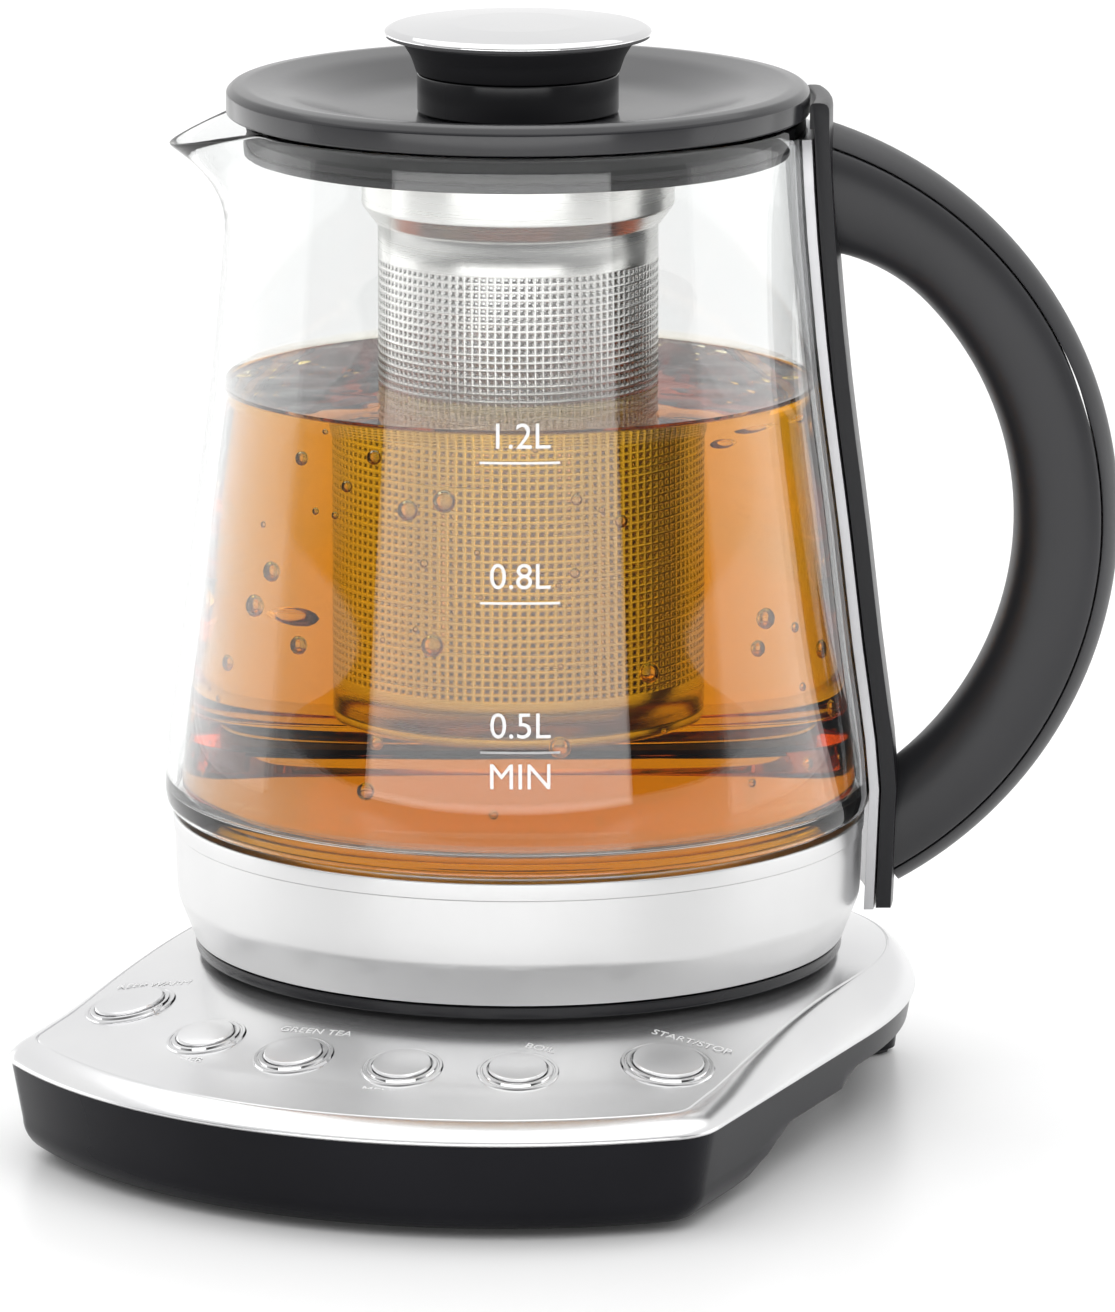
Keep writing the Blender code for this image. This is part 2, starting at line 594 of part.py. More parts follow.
def extruded_mesh(name, points, low, high):
    """A flat outline with a thickness, from a 2D curve."""
    curve = bpy.data.curves.new(name, "CURVE")
    curve.dimensions = "2D"
    curve.fill_mode = "BOTH"
    curve.extrude = (high - low) / 2
    spline = curve.splines.new("POLY")
    spline.points.add(len(points[1:]))
    for spot, (x, y) in zip(spline.points, points):
        spot.co = (x, y, 0.0, 1.0)
    spline.use_cyclic_u = True
    holder = bpy.data.objects.new(name, curve)
    CUTTERS.objects.link(holder)
    bpy.context.view_layer.update()
    flat = bpy.data.meshes.new_from_object(holder.evaluated_get(bpy.context.evaluated_depsgraph_get()))
    bpy.data.objects.remove(holder, do_unlink=True)
    shape = bmesh.new()
    shape.from_mesh(flat)
    bmesh.ops.remove_doubles(shape, verts=shape.verts, dist=MERGE)
    bmesh.ops.translate(shape, verts=shape.verts, vec=(0.0, 0.0, (low + high) / 2))
    bmesh.ops.recalc_face_normals(shape, faces=shape.faces)
    mesh = bpy.data.meshes.new(name)
    shape.to_mesh(mesh)
    shape.free()
    bpy.data.meshes.remove(flat)
    return mesh


def arc(count, start=0.0, end=math.pi / 2):
    """Angles spread evenly from start to end, both ends among them."""
    return [start + (end - start) * step / (count - 1) for step in range(count)]


def mix(low, high, share):
    return low + (high - low) * share


def base_outline(inset):
    """The base's outline drawn in by inset, counter-clockwise from above, as (x, y)."""
    half_width = BASE_HALF_WIDTH - inset
    arc_radius = FRONT_ARC_RADIUS - inset
    corner = max(FRONT_CORNER_RADIUS - inset, MERGE)
    centre = BASE_FRONT_REACH - FRONT_ARC_RADIUS
    corner_x = half_width - corner
    corner_forward = centre + math.sqrt((arc_radius - corner) ** 2 - corner_x ** 2)
    meet = math.atan2(corner_x, corner_forward - centre)
    right = [(arc_radius * math.sin(a), centre + arc_radius * math.cos(a))
             for a in arc(FRONT_ARC_POINTS, 0.0, meet)[:-1]]
    right += [(corner_x + corner * math.sin(a), corner_forward + corner * math.cos(a))
              for a in arc(FRONT_CORNER_POINTS, meet)]
    right += [(half_width, corner_forward * (1 - (step + 1) / SIDE_POINTS))
              for step in range(SIDE_POINTS - 1)]
    power = 2 / BACK_SQUARENESS
    back = BASE_BACK_REACH - inset
    right += [(half_width * math.cos(a) ** power, -back * math.sin(a) ** power)
              for a in arc(BACK_POINTS)[:-1]]
    right.append((0.0, -back))
    left = [(-x, forward) for x, forward in reversed(right[1:-1])]
    return [(x, -forward) for x, forward in right + left]


def panel_height(radius):
    """Height of the plate's upper face at a distance from the kettle's axis."""
    return SEAT_Z - max(radius - SEAT_RADIUS, 0.0) * math.tan(PANEL_SLOPE)


def ring_at(inset, height):
    return [Vector((x, y, height)) for x, y in base_outline(inset)]


def plate_rings():
    """From the plate's outer edge over the shoulder and up the panel to the connector's hole."""
    rings = [ring_at(0.0, PLATE_EDGE_Z)]
    crease = [Vector((x, y, panel_height(math.hypot(x, y)))) for x, y in base_outline(SHOULDER_WIDTH)]
    shoulder_z = PLATE_EDGE_Z + PLATE_THICKNESS
    for angle in arc(SHOULDER_POINTS):
        inset = SHOULDER_WIDTH * (1 - math.cos(angle))
        ring = []
        for (x, y), top in zip(base_outline(inset), crease):
            ring.append(Vector((x, y, mix(shoulder_z, top.z, math.sin(angle)))))
        rings.append(ring)
    seat = [Vector((p.x, p.y, 0.0)).normalized() * SEAT_RADIUS + Vector((0.0, 0.0, SEAT_Z)) for p in crease]
    rings.append(seat)
    rings.append([Vector((p.x, p.y, 0.0)).normalized() * (CONNECTOR_RADIUS + GAP)
                  + Vector((0.0, 0.0, SEAT_Z)) for p in crease])
    return rings


def button_place(angle):
    """The button's point on the panel and the turn that takes its own Z to the panel's normal."""
    x = BUTTON_RING_RADIUS * math.sin(angle)
    y = -BUTTON_RING_RADIUS * math.cos(angle)
    turn = Matrix.Rotation(angle, 4, "Z") @ Matrix.Rotation(PANEL_SLOPE, 4, "X")
    return Vector((x, y, panel_height(BUTTON_RING_RADIUS))), turn.to_euler()


def cap_radius(number):
    return LARGE_CAP_RADIUS if number in LARGE_BUTTONS else SMALL_CAP_RADIUS


def make_top_plate(axis, buttons):
    plate = part("base_top_plate", loft_mesh("base_top_plate", plate_rings(), False), STEEL, axis)
    wall(plate, PLATE_THICKNESS)
    for number, spot in enumerate(buttons, 1):
        radius = cap_radius(number) + GAP + BEZEL_SLEEVE + GAP
        hole = rod_mesh(f"plate_hole_{number}", radius, -BEZEL_DEPTH, OVERRUN, SMALL_STEPS)
        cut(plate, guide(f"plate_hole_{number}", hole, spot))
    return plate


def step_outline(drop):
    """Side view of what the raised back leaves open under the housing, lowered by drop, as (forward, z)."""
    low = -OVERRUN - drop
    return [(POD_END + drop, low),
            (POD_END + drop, HOUSING_BOTTOM_Z),
            (POD_END - POD_SLOPE_RUN + drop, MIDDLE_UNDERSIDE_Z + drop),
            (MIDDLE_END + drop, MIDDLE_UNDERSIDE_Z + drop),
            (MIDDLE_END - BACK_SLOPE_RUN + drop, BACK_UNDERSIDE_Z + drop),
            (-BASE_BACK_REACH - OVERRUN, BACK_UNDERSIDE_Z + drop),
            (-BASE_BACK_REACH - OVERRUN, low)]


def step_guide(name, drop, parent):
    """The step's side view drawn across the whole width."""
    half = BASE_HALF_WIDTH + OVERRUN
    mesh = extruded_mesh(name, step_outline(drop), -half, half)
    mesh.transform(Matrix(((0, 0, -1, 0), (-1, 0, 0, 0), (0, 1, 0, 0), (0, 0, 0, 1))))
    return guide(name, mesh, parent)


def tray_rings(inset, bottom, top):
    """A tray's outside from its rounded bottom edge to its rim."""
    rings = []
    for angle in arc(HOUSING_ROUND_POINTS):
        in_by = inset + HOUSING_TAPER + HOUSING_ROUND * (1 - math.sin(angle))
        rings.append(ring_at(in_by, bottom + HOUSING_ROUND * (1 - math.cos(angle))))
    rings.append(ring_at(inset, top))
    return rings


def floor_at(forward):
    """Height of the housing's inner floor at a place ahead of the axis."""
    if forward > POD_END:
        return HOUSING_BOTTOM_Z + HOUSING_WALL
    return (MIDDLE_UNDERSIDE_Z if forward > MIDDLE_END else BACK_UNDERSIDE_Z) + HOUSING_WALL


def spot_on_base(right, forward, z=0.0):
    return Vector((right, -forward, z))


def both_sides(right, forward):
    """A place on the left of the base and its twin on the right."""
    return [(-right, forward), (right, forward)]


def foot_spots():
    front = both_sides(BASE_HALF_WIDTH - FRONT_FOOT_SIDE_MARGIN, BASE_FRONT_REACH - FRONT_FOOT_MARGIN)
    rear = both_sides(BASE_HALF_WIDTH - REAR_FOOT_SIDE_MARGIN, REAR_FOOT_MARGIN - BASE_BACK_REACH)
    return front, rear


def screw_spots():
    front = both_sides(FRONT_SCREW_RIGHT, BASE_FRONT_REACH - FRONT_SCREW_MARGIN)
    return front + both_sides(BASE_HALF_WIDTH - REAR_SCREW_SIDE_MARGIN, -REAR_SCREW_BACK)


def shifted(mesh, place):
    mesh.transform(Matrix.Translation(place))
    return mesh


def make_housing(axis):
    rim = PLATE_EDGE_Z - GAP
    outside = tray_rings(HOUSING_INSET, HOUSING_BOTTOM_Z, rim)
    housing = part("base_housing", loft_mesh("base_housing", outside, True), CHARCOAL, axis)
    cut(housing, step_guide("underside_step", 0.0, axis))
    inside = tray_rings(HOUSING_INSET + HOUSING_WALL, HOUSING_BOTTOM_Z + HOUSING_WALL, rim)
    inside.append(ring_at(HOUSING_INSET + HOUSING_WALL, rim + OVERRUN))
    hollow = guide("housing_hollow", loft_mesh("housing_hollow", inside, True), axis)
    cut(hollow, step_guide("floor_step", HOUSING_WALL, axis))
    cut(housing, hollow)
    front_feet, rear_feet = foot_spots()
    for number, (right, forward) in enumerate(rear_feet, 1):
        leg = rod_mesh(f"leg_{number}", LEG_BOTTOM_RADIUS, HOUSING_BOTTOM_Z,
                       BACK_UNDERSIDE_Z + HOUSING_WALL / 2, SMALL_STEPS, LEG_TOP_RADIUS)
        join(housing, guide(f"leg_{number}", shifted(leg, spot_on_base(right, forward)), axis))
    for number, angle in enumerate(BOARD_POST_ANGLES, 1):
        radius = (CONTROL_BOARD_INNER + CONTROL_BOARD_OUTER) / 2
        post = rod_mesh(f"board_post_{number}", BOARD_POST_RADIUS, HOUSING_BOTTOM_Z + HOUSING_WALL / 2,
                        CONTROL_BOARD_Z - GAP, SCREW_STEPS)
        place = spot_on_base(radius * math.sin(angle), radius * math.cos(angle))
        join(housing, guide(f"board_post_{number}", shifted(post, place), axis))
    feet = [(FRONT_FOOT_RADIUS, spot) for spot in front_feet] + [(FOOT_RADIUS, spot) for spot in rear_feet]
    for number, (radius, spot) in enumerate(feet, 1):
        recess = rod_mesh(f"foot_recess_{number}", radius + GAP, -OVERRUN,
                          HOUSING_BOTTOM_Z + FOOT_RECESS, SMALL_STEPS)
        cut(housing, guide(f"foot_recess_{number}", shifted(recess, spot_on_base(*spot)), axis))
    for number, (right, forward) in enumerate(screw_spots(), 1):
        under = floor_at(forward) - HOUSING_WALL
        hole = rod_mesh(f"housing_hole_{number}", SCREW_RADIUS + GAP, under - OVERRUN,
                        under + HOUSING_WALL + OVERRUN, SCREW_STEPS)
        cut(housing, guide(f"housing_hole_{number}", shifted(hole, spot_on_base(right, forward)), axis))
        seat = rod_mesh(f"head_recess_{number}", SCREW_HEAD_RADIUS + GAP, under - OVERRUN,
                        under + HEAD_RECESS, SCREW_STEPS)
        cut(housing, guide(f"head_recess_{number}", shifted(seat, spot_on_base(right, forward)), axis))
    inlet = rod_mesh("inlet_hole", INLET_OUTER_RADIUS + GAP, -GAP, INLET_LENGTH + GAP, SMALL_STEPS)
    inlet.transform(Matrix.Translation(spot_on_base(0.0, INLET_BACK_END + INLET_LENGTH, INLET_Z))
                    @ Matrix.Rotation(-math.pi / 2, 4, "X"))
    cut(housing, guide("inlet_hole", inlet, axis))
    return housing


def make_frame(axis, buttons):
    deck_inset = HOUSING_INSET + HOUSING_WALL + HOUSING_TAPER / 2 + GAP
    deck = extruded_mesh("base_frame", base_outline(deck_inset), DECK_Z, DECK_Z + DECK_THICKNESS)
    frame = part("base_frame", deck, BLACK, axis)
    tower_top = SEAT_Z - PLATE_THICKNESS - GAP
    tower_outer = CONNECTOR_FLANGE_RADIUS + GAP + TOWER_WALL
    tower = rod_mesh("tower", tower_outer, DECK_Z + DECK_THICKNESS / 2, tower_top, MID_STEPS)
    join(frame, guide("tower", tower, axis))
    seat_z = tower_top - CONNECTOR_FLANGE - GAP
    cut(frame, guide("tower_seat", rod_mesh("tower_seat", CONNECTOR_FLANGE_RADIUS + GAP, seat_z,
                                            tower_top + OVERRUN, MID_STEPS), axis))
    cut(frame, guide("tower_bore", rod_mesh("tower_bore", CONNECTOR_RADIUS + GAP, DECK_Z - OVERRUN,
                                            seat_z + OVERRUN, MID_STEPS), axis))
    for number, (right, forward) in enumerate(screw_spots(), 1):
        under_plate = panel_height(math.hypot(right, forward) + BOSS_RADIUS) - PLATE_THICKNESS - GAP
        top = min(BOSS_TOP_Z, under_plate - GAP)
        low = floor_at(forward) + GAP
        place = spot_on_base(right, forward)
        boss = rod_mesh(f"boss_{number}", BOSS_RADIUS, low, top, SCREW_STEPS)
        join(frame, guide(f"boss_{number}", shifted(boss, place), axis))
        pilot = rod_mesh(f"pilot_{number}", SCREW_RADIUS + GAP, low - OVERRUN,
                         low + SCREW_THREAD_LENGTH, SCREW_STEPS)
        cut(frame, guide(f"pilot_{number}", shifted(pilot, place), axis))
    for number, spot in enumerate(buttons, 1):
        sleeve = cap_radius(number) + GAP + BEZEL_SLEEVE
        bottom = -(panel_height(BUTTON_RING_RADIUS) - DECK_Z) - GUIDE_SINK
        guide_top = -PLATE_THICKNESS - GAP - GAP
        tube = rod_mesh(f"guide_{number}", sleeve + GUIDE_WALL, bottom, guide_top, SMALL_STEPS)
        join(frame, guide(f"guide_{number}", tube, spot))
        stages = ((sleeve + GAP, -CAP_DEPTH - BUTTON_TRAVEL - GAP, SMALL_STEPS),
                  (STEM_RADIUS + GAP, bottom - OVERRUN, SCREW_STEPS))
        for stage, (radius, depth, steps) in enumerate(stages, 1):
            name = f"guide_{number}_bore_{stage}"
            cut(frame, guide(name, rod_mesh(name, radius, depth, OVERRUN, steps), spot))
    return frame


def make_buttons(buttons):
    for number, spot in enumerate(buttons, 1):
        cap = cap_radius(number)
        inner = cap + GAP
        sleeve = inner + BEZEL_SLEEVE
        lip = cap + BEZEL_LIP
        flat = mix(inner, lip, BEZEL_FLAT_SHARE)
        turned(f"button_bezel_{number}",
               [(inner, GAP + BEZEL_LIP_HEIGHT), (flat, GAP + BEZEL_LIP_HEIGHT), (lip, GAP),
                (sleeve, GAP), (sleeve, -BEZEL_DEPTH), (inner, -BEZEL_DEPTH)],
               POLISHED, spot, SMALL_STEPS, True)
        turned(f"button_{number}",
               [(0.0, CAP_PROUD), (cap - CAP_CHAMFER, CAP_PROUD), (cap, CAP_PROUD - CAP_CHAMFER),
                (cap, -CAP_DEPTH), (STEM_RADIUS, -CAP_DEPTH), (STEM_RADIUS, -STEM_DEPTH), (0.0, -STEM_DEPTH)],
               STEEL, spot, SMALL_STEPS)


def board_outline():
    """The control board's banana shape under the buttons, as (x, y)."""
    sweep = arc(CONTROL_BOARD_POINTS, -CONTROL_BOARD_HALF_ANGLE, CONTROL_BOARD_HALF_ANGLE)
    outer = [(CONTROL_BOARD_OUTER * math.sin(a), -CONTROL_BOARD_OUTER * math.cos(a)) for a in sweep]
    inner = [(CONTROL_BOARD_INNER * math.sin(a), -CONTROL_BOARD_INNER * math.cos(a)) for a in reversed(sweep)]
    return outer + inner


def make_boards(axis):
    top = CONTROL_BOARD_Z + BOARD_THICKNESS
    control = part("control_board", extruded_mesh("control_board", board_outline(), CONTROL_BOARD_Z, top),
                   BOARD, axis)
    reach = BUTTON_RING_RADIUS - STEM_DEPTH * math.sin(PANEL_SLOPE)
    for number, angle in enumerate(BUTTON_ANGLES, 1):
        centre = (0.0, 0.0, top + SWITCH_HEIGHT / 2 - MERGE)
        switch = block_mesh(f"switch_{number}", (SWITCH_SIDE, SWITCH_SIDE, SWITCH_HEIGHT), centre)
        place = spot_on_base(reach * math.sin(angle), reach * math.cos(angle))
        join(control, guide(f"switch_{number}", shifted(switch, place), axis))
    low = DECK_Z + DECK_THICKNESS + GAP
    centre = spot_on_base(0.0, POWER_BOARD_FORWARD, low + BOARD_THICKNESS / 2)
    power = part("power_board", block_mesh("power_board", (POWER_BOARD_WIDTH, POWER_BOARD_DEPTH,
                                                           BOARD_THICKNESS), centre), BOARD, axis)
    on_top = low + BOARD_THICKNESS
    relay_centre = spot_on_base(RELAY_RIGHT, POWER_BOARD_FORWARD, on_top + RELAY_SIZE[2] / 2 - MERGE)
    join(power, guide("relay", block_mesh("relay", RELAY_SIZE, relay_centre), axis))
    can = rod_mesh("capacitor", CAPACITOR_RADIUS, on_top - MERGE, on_top + CAPACITOR_HEIGHT, SCREW_STEPS)
    join(power, guide("capacitor", shifted(can, spot_on_base(CAPACITOR_RIGHT, POWER_BOARD_FORWARD)), axis))


def make_feet(axis):
    names = ("foot_front_left", "foot_front_right", "foot_rear_left", "foot_rear_right")
    sizes = (FRONT_FOOT_RADIUS, FRONT_FOOT_RADIUS, FOOT_RADIUS, FOOT_RADIUS)
    front, rear = foot_spots()
    for name, radius, spot in zip(names, sizes, front + rear):
        pad = rod_mesh(name, radius, 0.0, FOOT_PROUD + FOOT_RECESS - GAP, SMALL_STEPS)
        part(name, shifted(pad, spot_on_base(*spot)), RUBBER, axis)


def screw(name, radius, head_radius, head_height, length, material, parent):
    """A pan-head screw, head down, with the underside of its head at its origin."""
    return turned(name, [(0.0, length), (radius, length), (radius, 0.0), (head_radius, 0.0),
                         (head_radius - head_height / 2, -head_height), (0.0, -head_height)],
                  material, parent, SCREW_STEPS)


def make_base_screws(axis):
    for number, (right, forward) in enumerate(screw_spots(), 1):
        under = floor_at(forward) - HOUSING_WALL
        length = HOUSING_WALL - HEAD_RECESS + GAP + SCREW_THREAD_LENGTH - GAP
        made = screw(f"base_screw_{number}", SCREW_RADIUS, SCREW_HEAD_RADIUS, SCREW_HEAD_HEIGHT / 2,
                     length, STEEL, axis)
        made.location = spot_on_base(right, forward, under + HEAD_RECESS - GAP)


def make_inlet(axis):
    """The gland in the housing, with its flange inside and its bore along Y."""
    length = INLET_LENGTH
    bush = turned("cord_inlet_bush",
                  [(INLET_OUTER_RADIUS, length), (INLET_OUTER_RADIUS, INLET_FLANGE),
                   (INLET_FLANGE_RADIUS, INLET_FLANGE), (INLET_FLANGE_RADIUS, 0.0),
                   (INLET_BORE_RADIUS, 0.0), (INLET_BORE_RADIUS, length)],
                  RUBBER, axis, SMALL_STEPS, True)
    bush.rotation_euler = (-math.pi / 2, 0.0, 0.0)
    bush.location = spot_on_base(0.0, INLET_BACK_END + length, INLET_Z)
    return bush


def make_connector(axis):
    top = CONNECTOR_TOP_Z
    seat = SEAT_Z + CONNECTOR_PROUD
    flange_top = SEAT_Z - PLATE_THICKNESS - GAP
    bore = PIN_RADIUS + GAP
    turned("connector_post",
           [(0.0, PIN_BOTTOM_Z), (bore, PIN_BOTTOM_Z), (bore, top), (CONNECTOR_CORE_RADIUS, top),
            (CONNECTOR_CORE_RADIUS, CONNECTOR_GROOVE_Z), (CONNECTOR_WALL_INNER, CONNECTOR_GROOVE_Z),
            (CONNECTOR_WALL_INNER, top), (CONNECTOR_WALL_OUTER, top), (CONNECTOR_WALL_OUTER, seat),
            (CONNECTOR_RADIUS, seat), (CONNECTOR_RADIUS, flange_top), (CONNECTOR_FLANGE_RADIUS, flange_top),
            (CONNECTOR_FLANGE_RADIUS, flange_top - CONNECTOR_FLANGE),
            (CONNECTOR_RADIUS, flange_top - CONNECTOR_FLANGE), (CONNECTOR_RADIUS, SEAT_Z - CONNECTOR_DEPTH),
            (0.0, SEAT_Z - CONNECTOR_DEPTH)], BLACK, axis, MID_STEPS)
    low = CONNECTOR_GROOVE_Z + GAP
    high = top - CONTACT_DROP
    for name, inner in (("contact_ring_inner", CONNECTOR_CORE_RADIUS + GAP),
                        ("contact_ring_outer", CONNECTOR_WALL_INNER - GAP - CONTACT_THICKNESS)):
        outer = inner + CONTACT_THICKNESS
        turned(name, [(inner, high), (outer, high), (outer, low), (inner, low)], BRASS, axis,
               SMALL_STEPS if inner < CONNECTOR_WALL_INNER / 2 else MID_STEPS, True)
    turned("contact_pin",
           [(0.0, PIN_TOP_Z), (PIN_RADIUS / 2, PIN_TOP_Z), (PIN_RADIUS, PIN_TOP_Z - PIN_RADIUS / 2),
            (PIN_RADIUS, PIN_BOTTOM_Z + GAP), (0.0, PIN_BOTTOM_Z + GAP)],
           BRASS, axis, SCREW_STEPS)


def make_socket(axis):
    flange_low = COVER_UNDERSIDE_Z + COVER_THICKNESS + GAP
    turned("connector_socket",
           [(0.0, SOCKET_TOP_Z), (SOCKET_RADIUS, SOCKET_TOP_Z), (SOCKET_RADIUS, flange_low + SOCKET_FLANGE),
            (SOCKET_FLANGE_RADIUS, flange_low + SOCKET_FLANGE), (SOCKET_FLANGE_RADIUS, flange_low),
            (SOCKET_RADIUS, flange_low), (SOCKET_RADIUS, SOCKET_BOTTOM_Z),
            (SOCKET_RECESS_RADIUS, SOCKET_BOTTOM_Z), (SOCKET_RECESS_RADIUS, SOCKET_RECESS_Z),
            (SOCKET_SLEEVE_OUTER, SOCKET_RECESS_Z), (SOCKET_SLEEVE_OUTER, SOCKET_SLEEVE_Z),
            (SOCKET_SLEEVE_INNER, SOCKET_SLEEVE_Z), (SOCKET_SLEEVE_INNER, SOCKET_RECESS_Z),
            (SOCKET_PIN_RADIUS, SOCKET_RECESS_Z), (SOCKET_PIN_RADIUS, SOCKET_PIN_Z), (0.0, SOCKET_PIN_Z)],
           BLACK, axis, MID_STEPS)


def band_outline():
    """The band's outer side from its inner ledge down to its bottom edge."""
    points = [(BAND_LEDGE_RADIUS, BAND_TOP_Z), (BAND_TOP_RADIUS, BAND_TOP_Z)]
    for angle in arc(BAND_CURVE_POINTS):
        points.append((mix(BAND_BOTTOM_RADIUS, BAND_CURVE_RADIUS, math.cos(angle)),
                       mix(BAND_CURVE_Z, BAND_BOTTOM_Z, math.sin(angle))))
    return points


def make_underbody(turn):
    inner = SOCKET_RADIUS + GAP
    rim_outer = BAND_BOTTOM_RADIUS - BAND_THICKNESS - GAP - GAP
    rim_inner = rim_outer - COVER_RIM_WALL
    foot_z = SEAT_Z + GAP
    deck = COVER_UNDERSIDE_Z + COVER_THICKNESS
    ledge = BAND_BOTTOM_Z - GAP
    cover = turned("underbody_cover",
                   [(rim_inner, COVER_RIM_Z), (rim_outer, COVER_RIM_Z), (rim_outer, ledge),
                    (FOOT_RING_OUTER, ledge), (FOOT_RING_OUTER, FOOT_RING_EDGE_Z), (FOOT_RING_FLAT, foot_z),
                    (FOOT_RING_INNER, foot_z), (FOOT_RING_INNER - COVER_THICKNESS, COVER_UNDERSIDE_Z),
                    (inner, COVER_UNDERSIDE_Z), (inner, deck), (rim_inner, deck)],
                   BLACK, turn, BIG_STEPS, True)
    for number in range(COVER_SCREW_COUNT):
        angle = math.tau * number / COVER_SCREW_COUNT
        place = Vector((COVER_SCREW_RING * math.cos(angle), COVER_SCREW_RING * math.sin(angle), 0.0))
        hole = rod_mesh(f"cover_hole_{number + 1}", SCREW_RADIUS + GAP, COVER_UNDERSIDE_Z - OVERRUN,
                        deck + OVERRUN, SCREW_STEPS)
        cut(cover, guide(f"cover_hole_{number + 1}", shifted(hole, place), turn))
        made = screw(f"underbody_screw_{number + 1}", SCREW_RADIUS, SCREW_HEAD_RADIUS, SCREW_HEAD_HEIGHT / 2,
                     COVER_THICKNESS + SCREW_THREAD_LENGTH, STEEL, turn)
        made.location = place + Vector((0.0, 0.0, COVER_UNDERSIDE_Z - GAP))
    band = turned("steel_band", band_outline(), STEEL, turn, BIG_STEPS)
    wall(band, BAND_THICKNESS)


def make_heater(turn):
    seal_top = GLASS_BOTTOM_Z - GAP
    seal_low = seal_top - SEAL_HEIGHT
    outer = BAND_LEDGE_RADIUS - GAP
    turned("heater_seal", [(SEAL_INNER_RADIUS, seal_top), (outer, seal_top), (outer, seal_low),
                           (SEAL_INNER_RADIUS, seal_low)], RUBBER, turn, BIG_STEPS, True)
    top = seal_low - GAP
    low = top - HEATER_PLATE_THICKNESS
    plate = turned("heater_plate", [(0.0, top), (HEATER_PLATE_RADIUS, top), (HEATER_PLATE_RADIUS, low),
                                    (0.0, low)], STEEL, turn, BIG_STEPS)
    deck = COVER_UNDERSIDE_Z + COVER_THICKNESS
    for number in range(COVER_SCREW_COUNT):
        angle = math.tau * number / COVER_SCREW_COUNT
        place = Vector((COVER_SCREW_RING * math.cos(angle), COVER_SCREW_RING * math.sin(angle), 0.0))
        post = rod_mesh(f"heater_post_{number + 1}", HEATER_POST_RADIUS, deck + GAP,
                        low + HEATER_PLATE_THICKNESS / 2, SCREW_STEPS)
        join(plate, guide(f"heater_post_{number + 1}", shifted(post, place), turn))
        pilot = rod_mesh(f"post_pilot_{number + 1}", SCREW_RADIUS + GAP, deck - OVERRUN,
                         deck + SCREW_THREAD_LENGTH + GAP, SCREW_STEPS)
        cut(plate, guide(f"post_pilot_{number + 1}", shifted(pilot, place), turn))
    make_element(turn, low - GAP - ELEMENT_TUBE_RADIUS)
    sensor = rod_mesh("temperature_sensor", SENSOR_RADIUS, low - GAP - SENSOR_HEIGHT, low - GAP, SMALL_STEPS)
    part("temperature_sensor", sensor, BRASS, turn)
    fuse = block_mesh("thermal_fuse", FUSE_SIZE, (0.0, FUSE_RADIUS, low - GAP - FUSE_SIZE[2] / 2))
    part("thermal_fuse", fuse, GREY_METAL, turn)


def make_element(turn, height):
    """The sheathed heating element, bent to an open ring under its plate."""
    curve = bpy.data.curves.new("heating_element", "CURVE")
    curve.dimensions = "3D"
    curve.bevel_depth = ELEMENT_TUBE_RADIUS
    curve.bevel_resolution = 2
    curve.use_fill_caps = True
    curve.render_resolution_u = 0
    spline = curve.splines.new("POLY")
    half = math.pi - ELEMENT_OPEN_ANGLE / 2
    angles = arc(ELEMENT_STEPS, -half, half)
    spline.points.add(len(angles[1:]))
    for spot, angle in zip(spline.points, angles):
        spot.co = (ELEMENT_RING_RADIUS * math.cos(angle), ELEMENT_RING_RADIUS * math.sin(angle), height, 1.0)
    made = bpy.data.objects.new("heating_element", curve)
    made.parent = turn
    curve.materials.append(GREY_METAL)
    PARTS.objects.link(made)
    return made


def glass_radius(height):
    """The glass's outer radius at a height from its belly to its rim."""
    share = (GLASS_RIM_Z - height) / (GLASS_RIM_Z - GLASS_BELLY_Z)
    for (low, low_out), (high, high_out) in zip(GLASS_FLARE_SHARES, GLASS_FLARE_SHARES[1:]):
        if share <= high:
            out = mix(low_out, high_out, (share - low) / (high - low))
            return mix(GLASS_RIM_RADIUS, GLASS_BELLY_RADIUS, out)
    return GLASS_BELLY_RADIUS


def glass_outline():
    """The glass's outer side, from its rim to the mouth in its bottom."""
    points = []
    for step in range(1, SPOUT_RINGS + 1):
        height = GLASS_RIM_Z - SPOUT_HEIGHT * (step - 1) / SPOUT_RINGS
        points.append((glass_radius(height), height))
    for share, _ in GLASS_FLARE_SHARES:
        height = mix(GLASS_RIM_Z, GLASS_BELLY_Z, share)
        if height <= GLASS_RIM_Z - SPOUT_HEIGHT:
            points.append((glass_radius(height), height))
    for angle in arc(GLASS_HEEL_POINTS)[1:]:
        points.append((mix(GLASS_HEEL_RADIUS, GLASS_BELLY_RADIUS, math.cos(angle)),
                       mix(GLASS_BELLY_Z, GLASS_BOTTOM_Z, math.sin(angle))))
    points.append((GLASS_MOUTH_RADIUS, GLASS_BOTTOM_Z))
    return points


def pull_spout(mesh):
    """Draws the rim out and down into a spout on the side away from the handle."""
    for corner in mesh.vertices:
        radius = math.hypot(corner.co.x, corner.co.y)
        side = math.atan2(corner.co.y, -corner.co.x)
        rise = (corner.co.z - (GLASS_RIM_Z - SPOUT_HEIGHT)) / SPOUT_HEIGHT
        if abs(side) >= SPOUT_HALF_ANGLE or rise <= 0.0:
            continue
        crest = math.cos(math.pi / 2 * side / SPOUT_HALF_ANGLE) ** 2
        out = SPOUT_REACH * crest * rise ** SPOUT_CURVE
        corner.co.z -= SPOUT_DROP * crest * rise
        corner.co.x *= (radius + out) / radius
        corner.co.y *= (radius + out * (1 - crest)) / radius


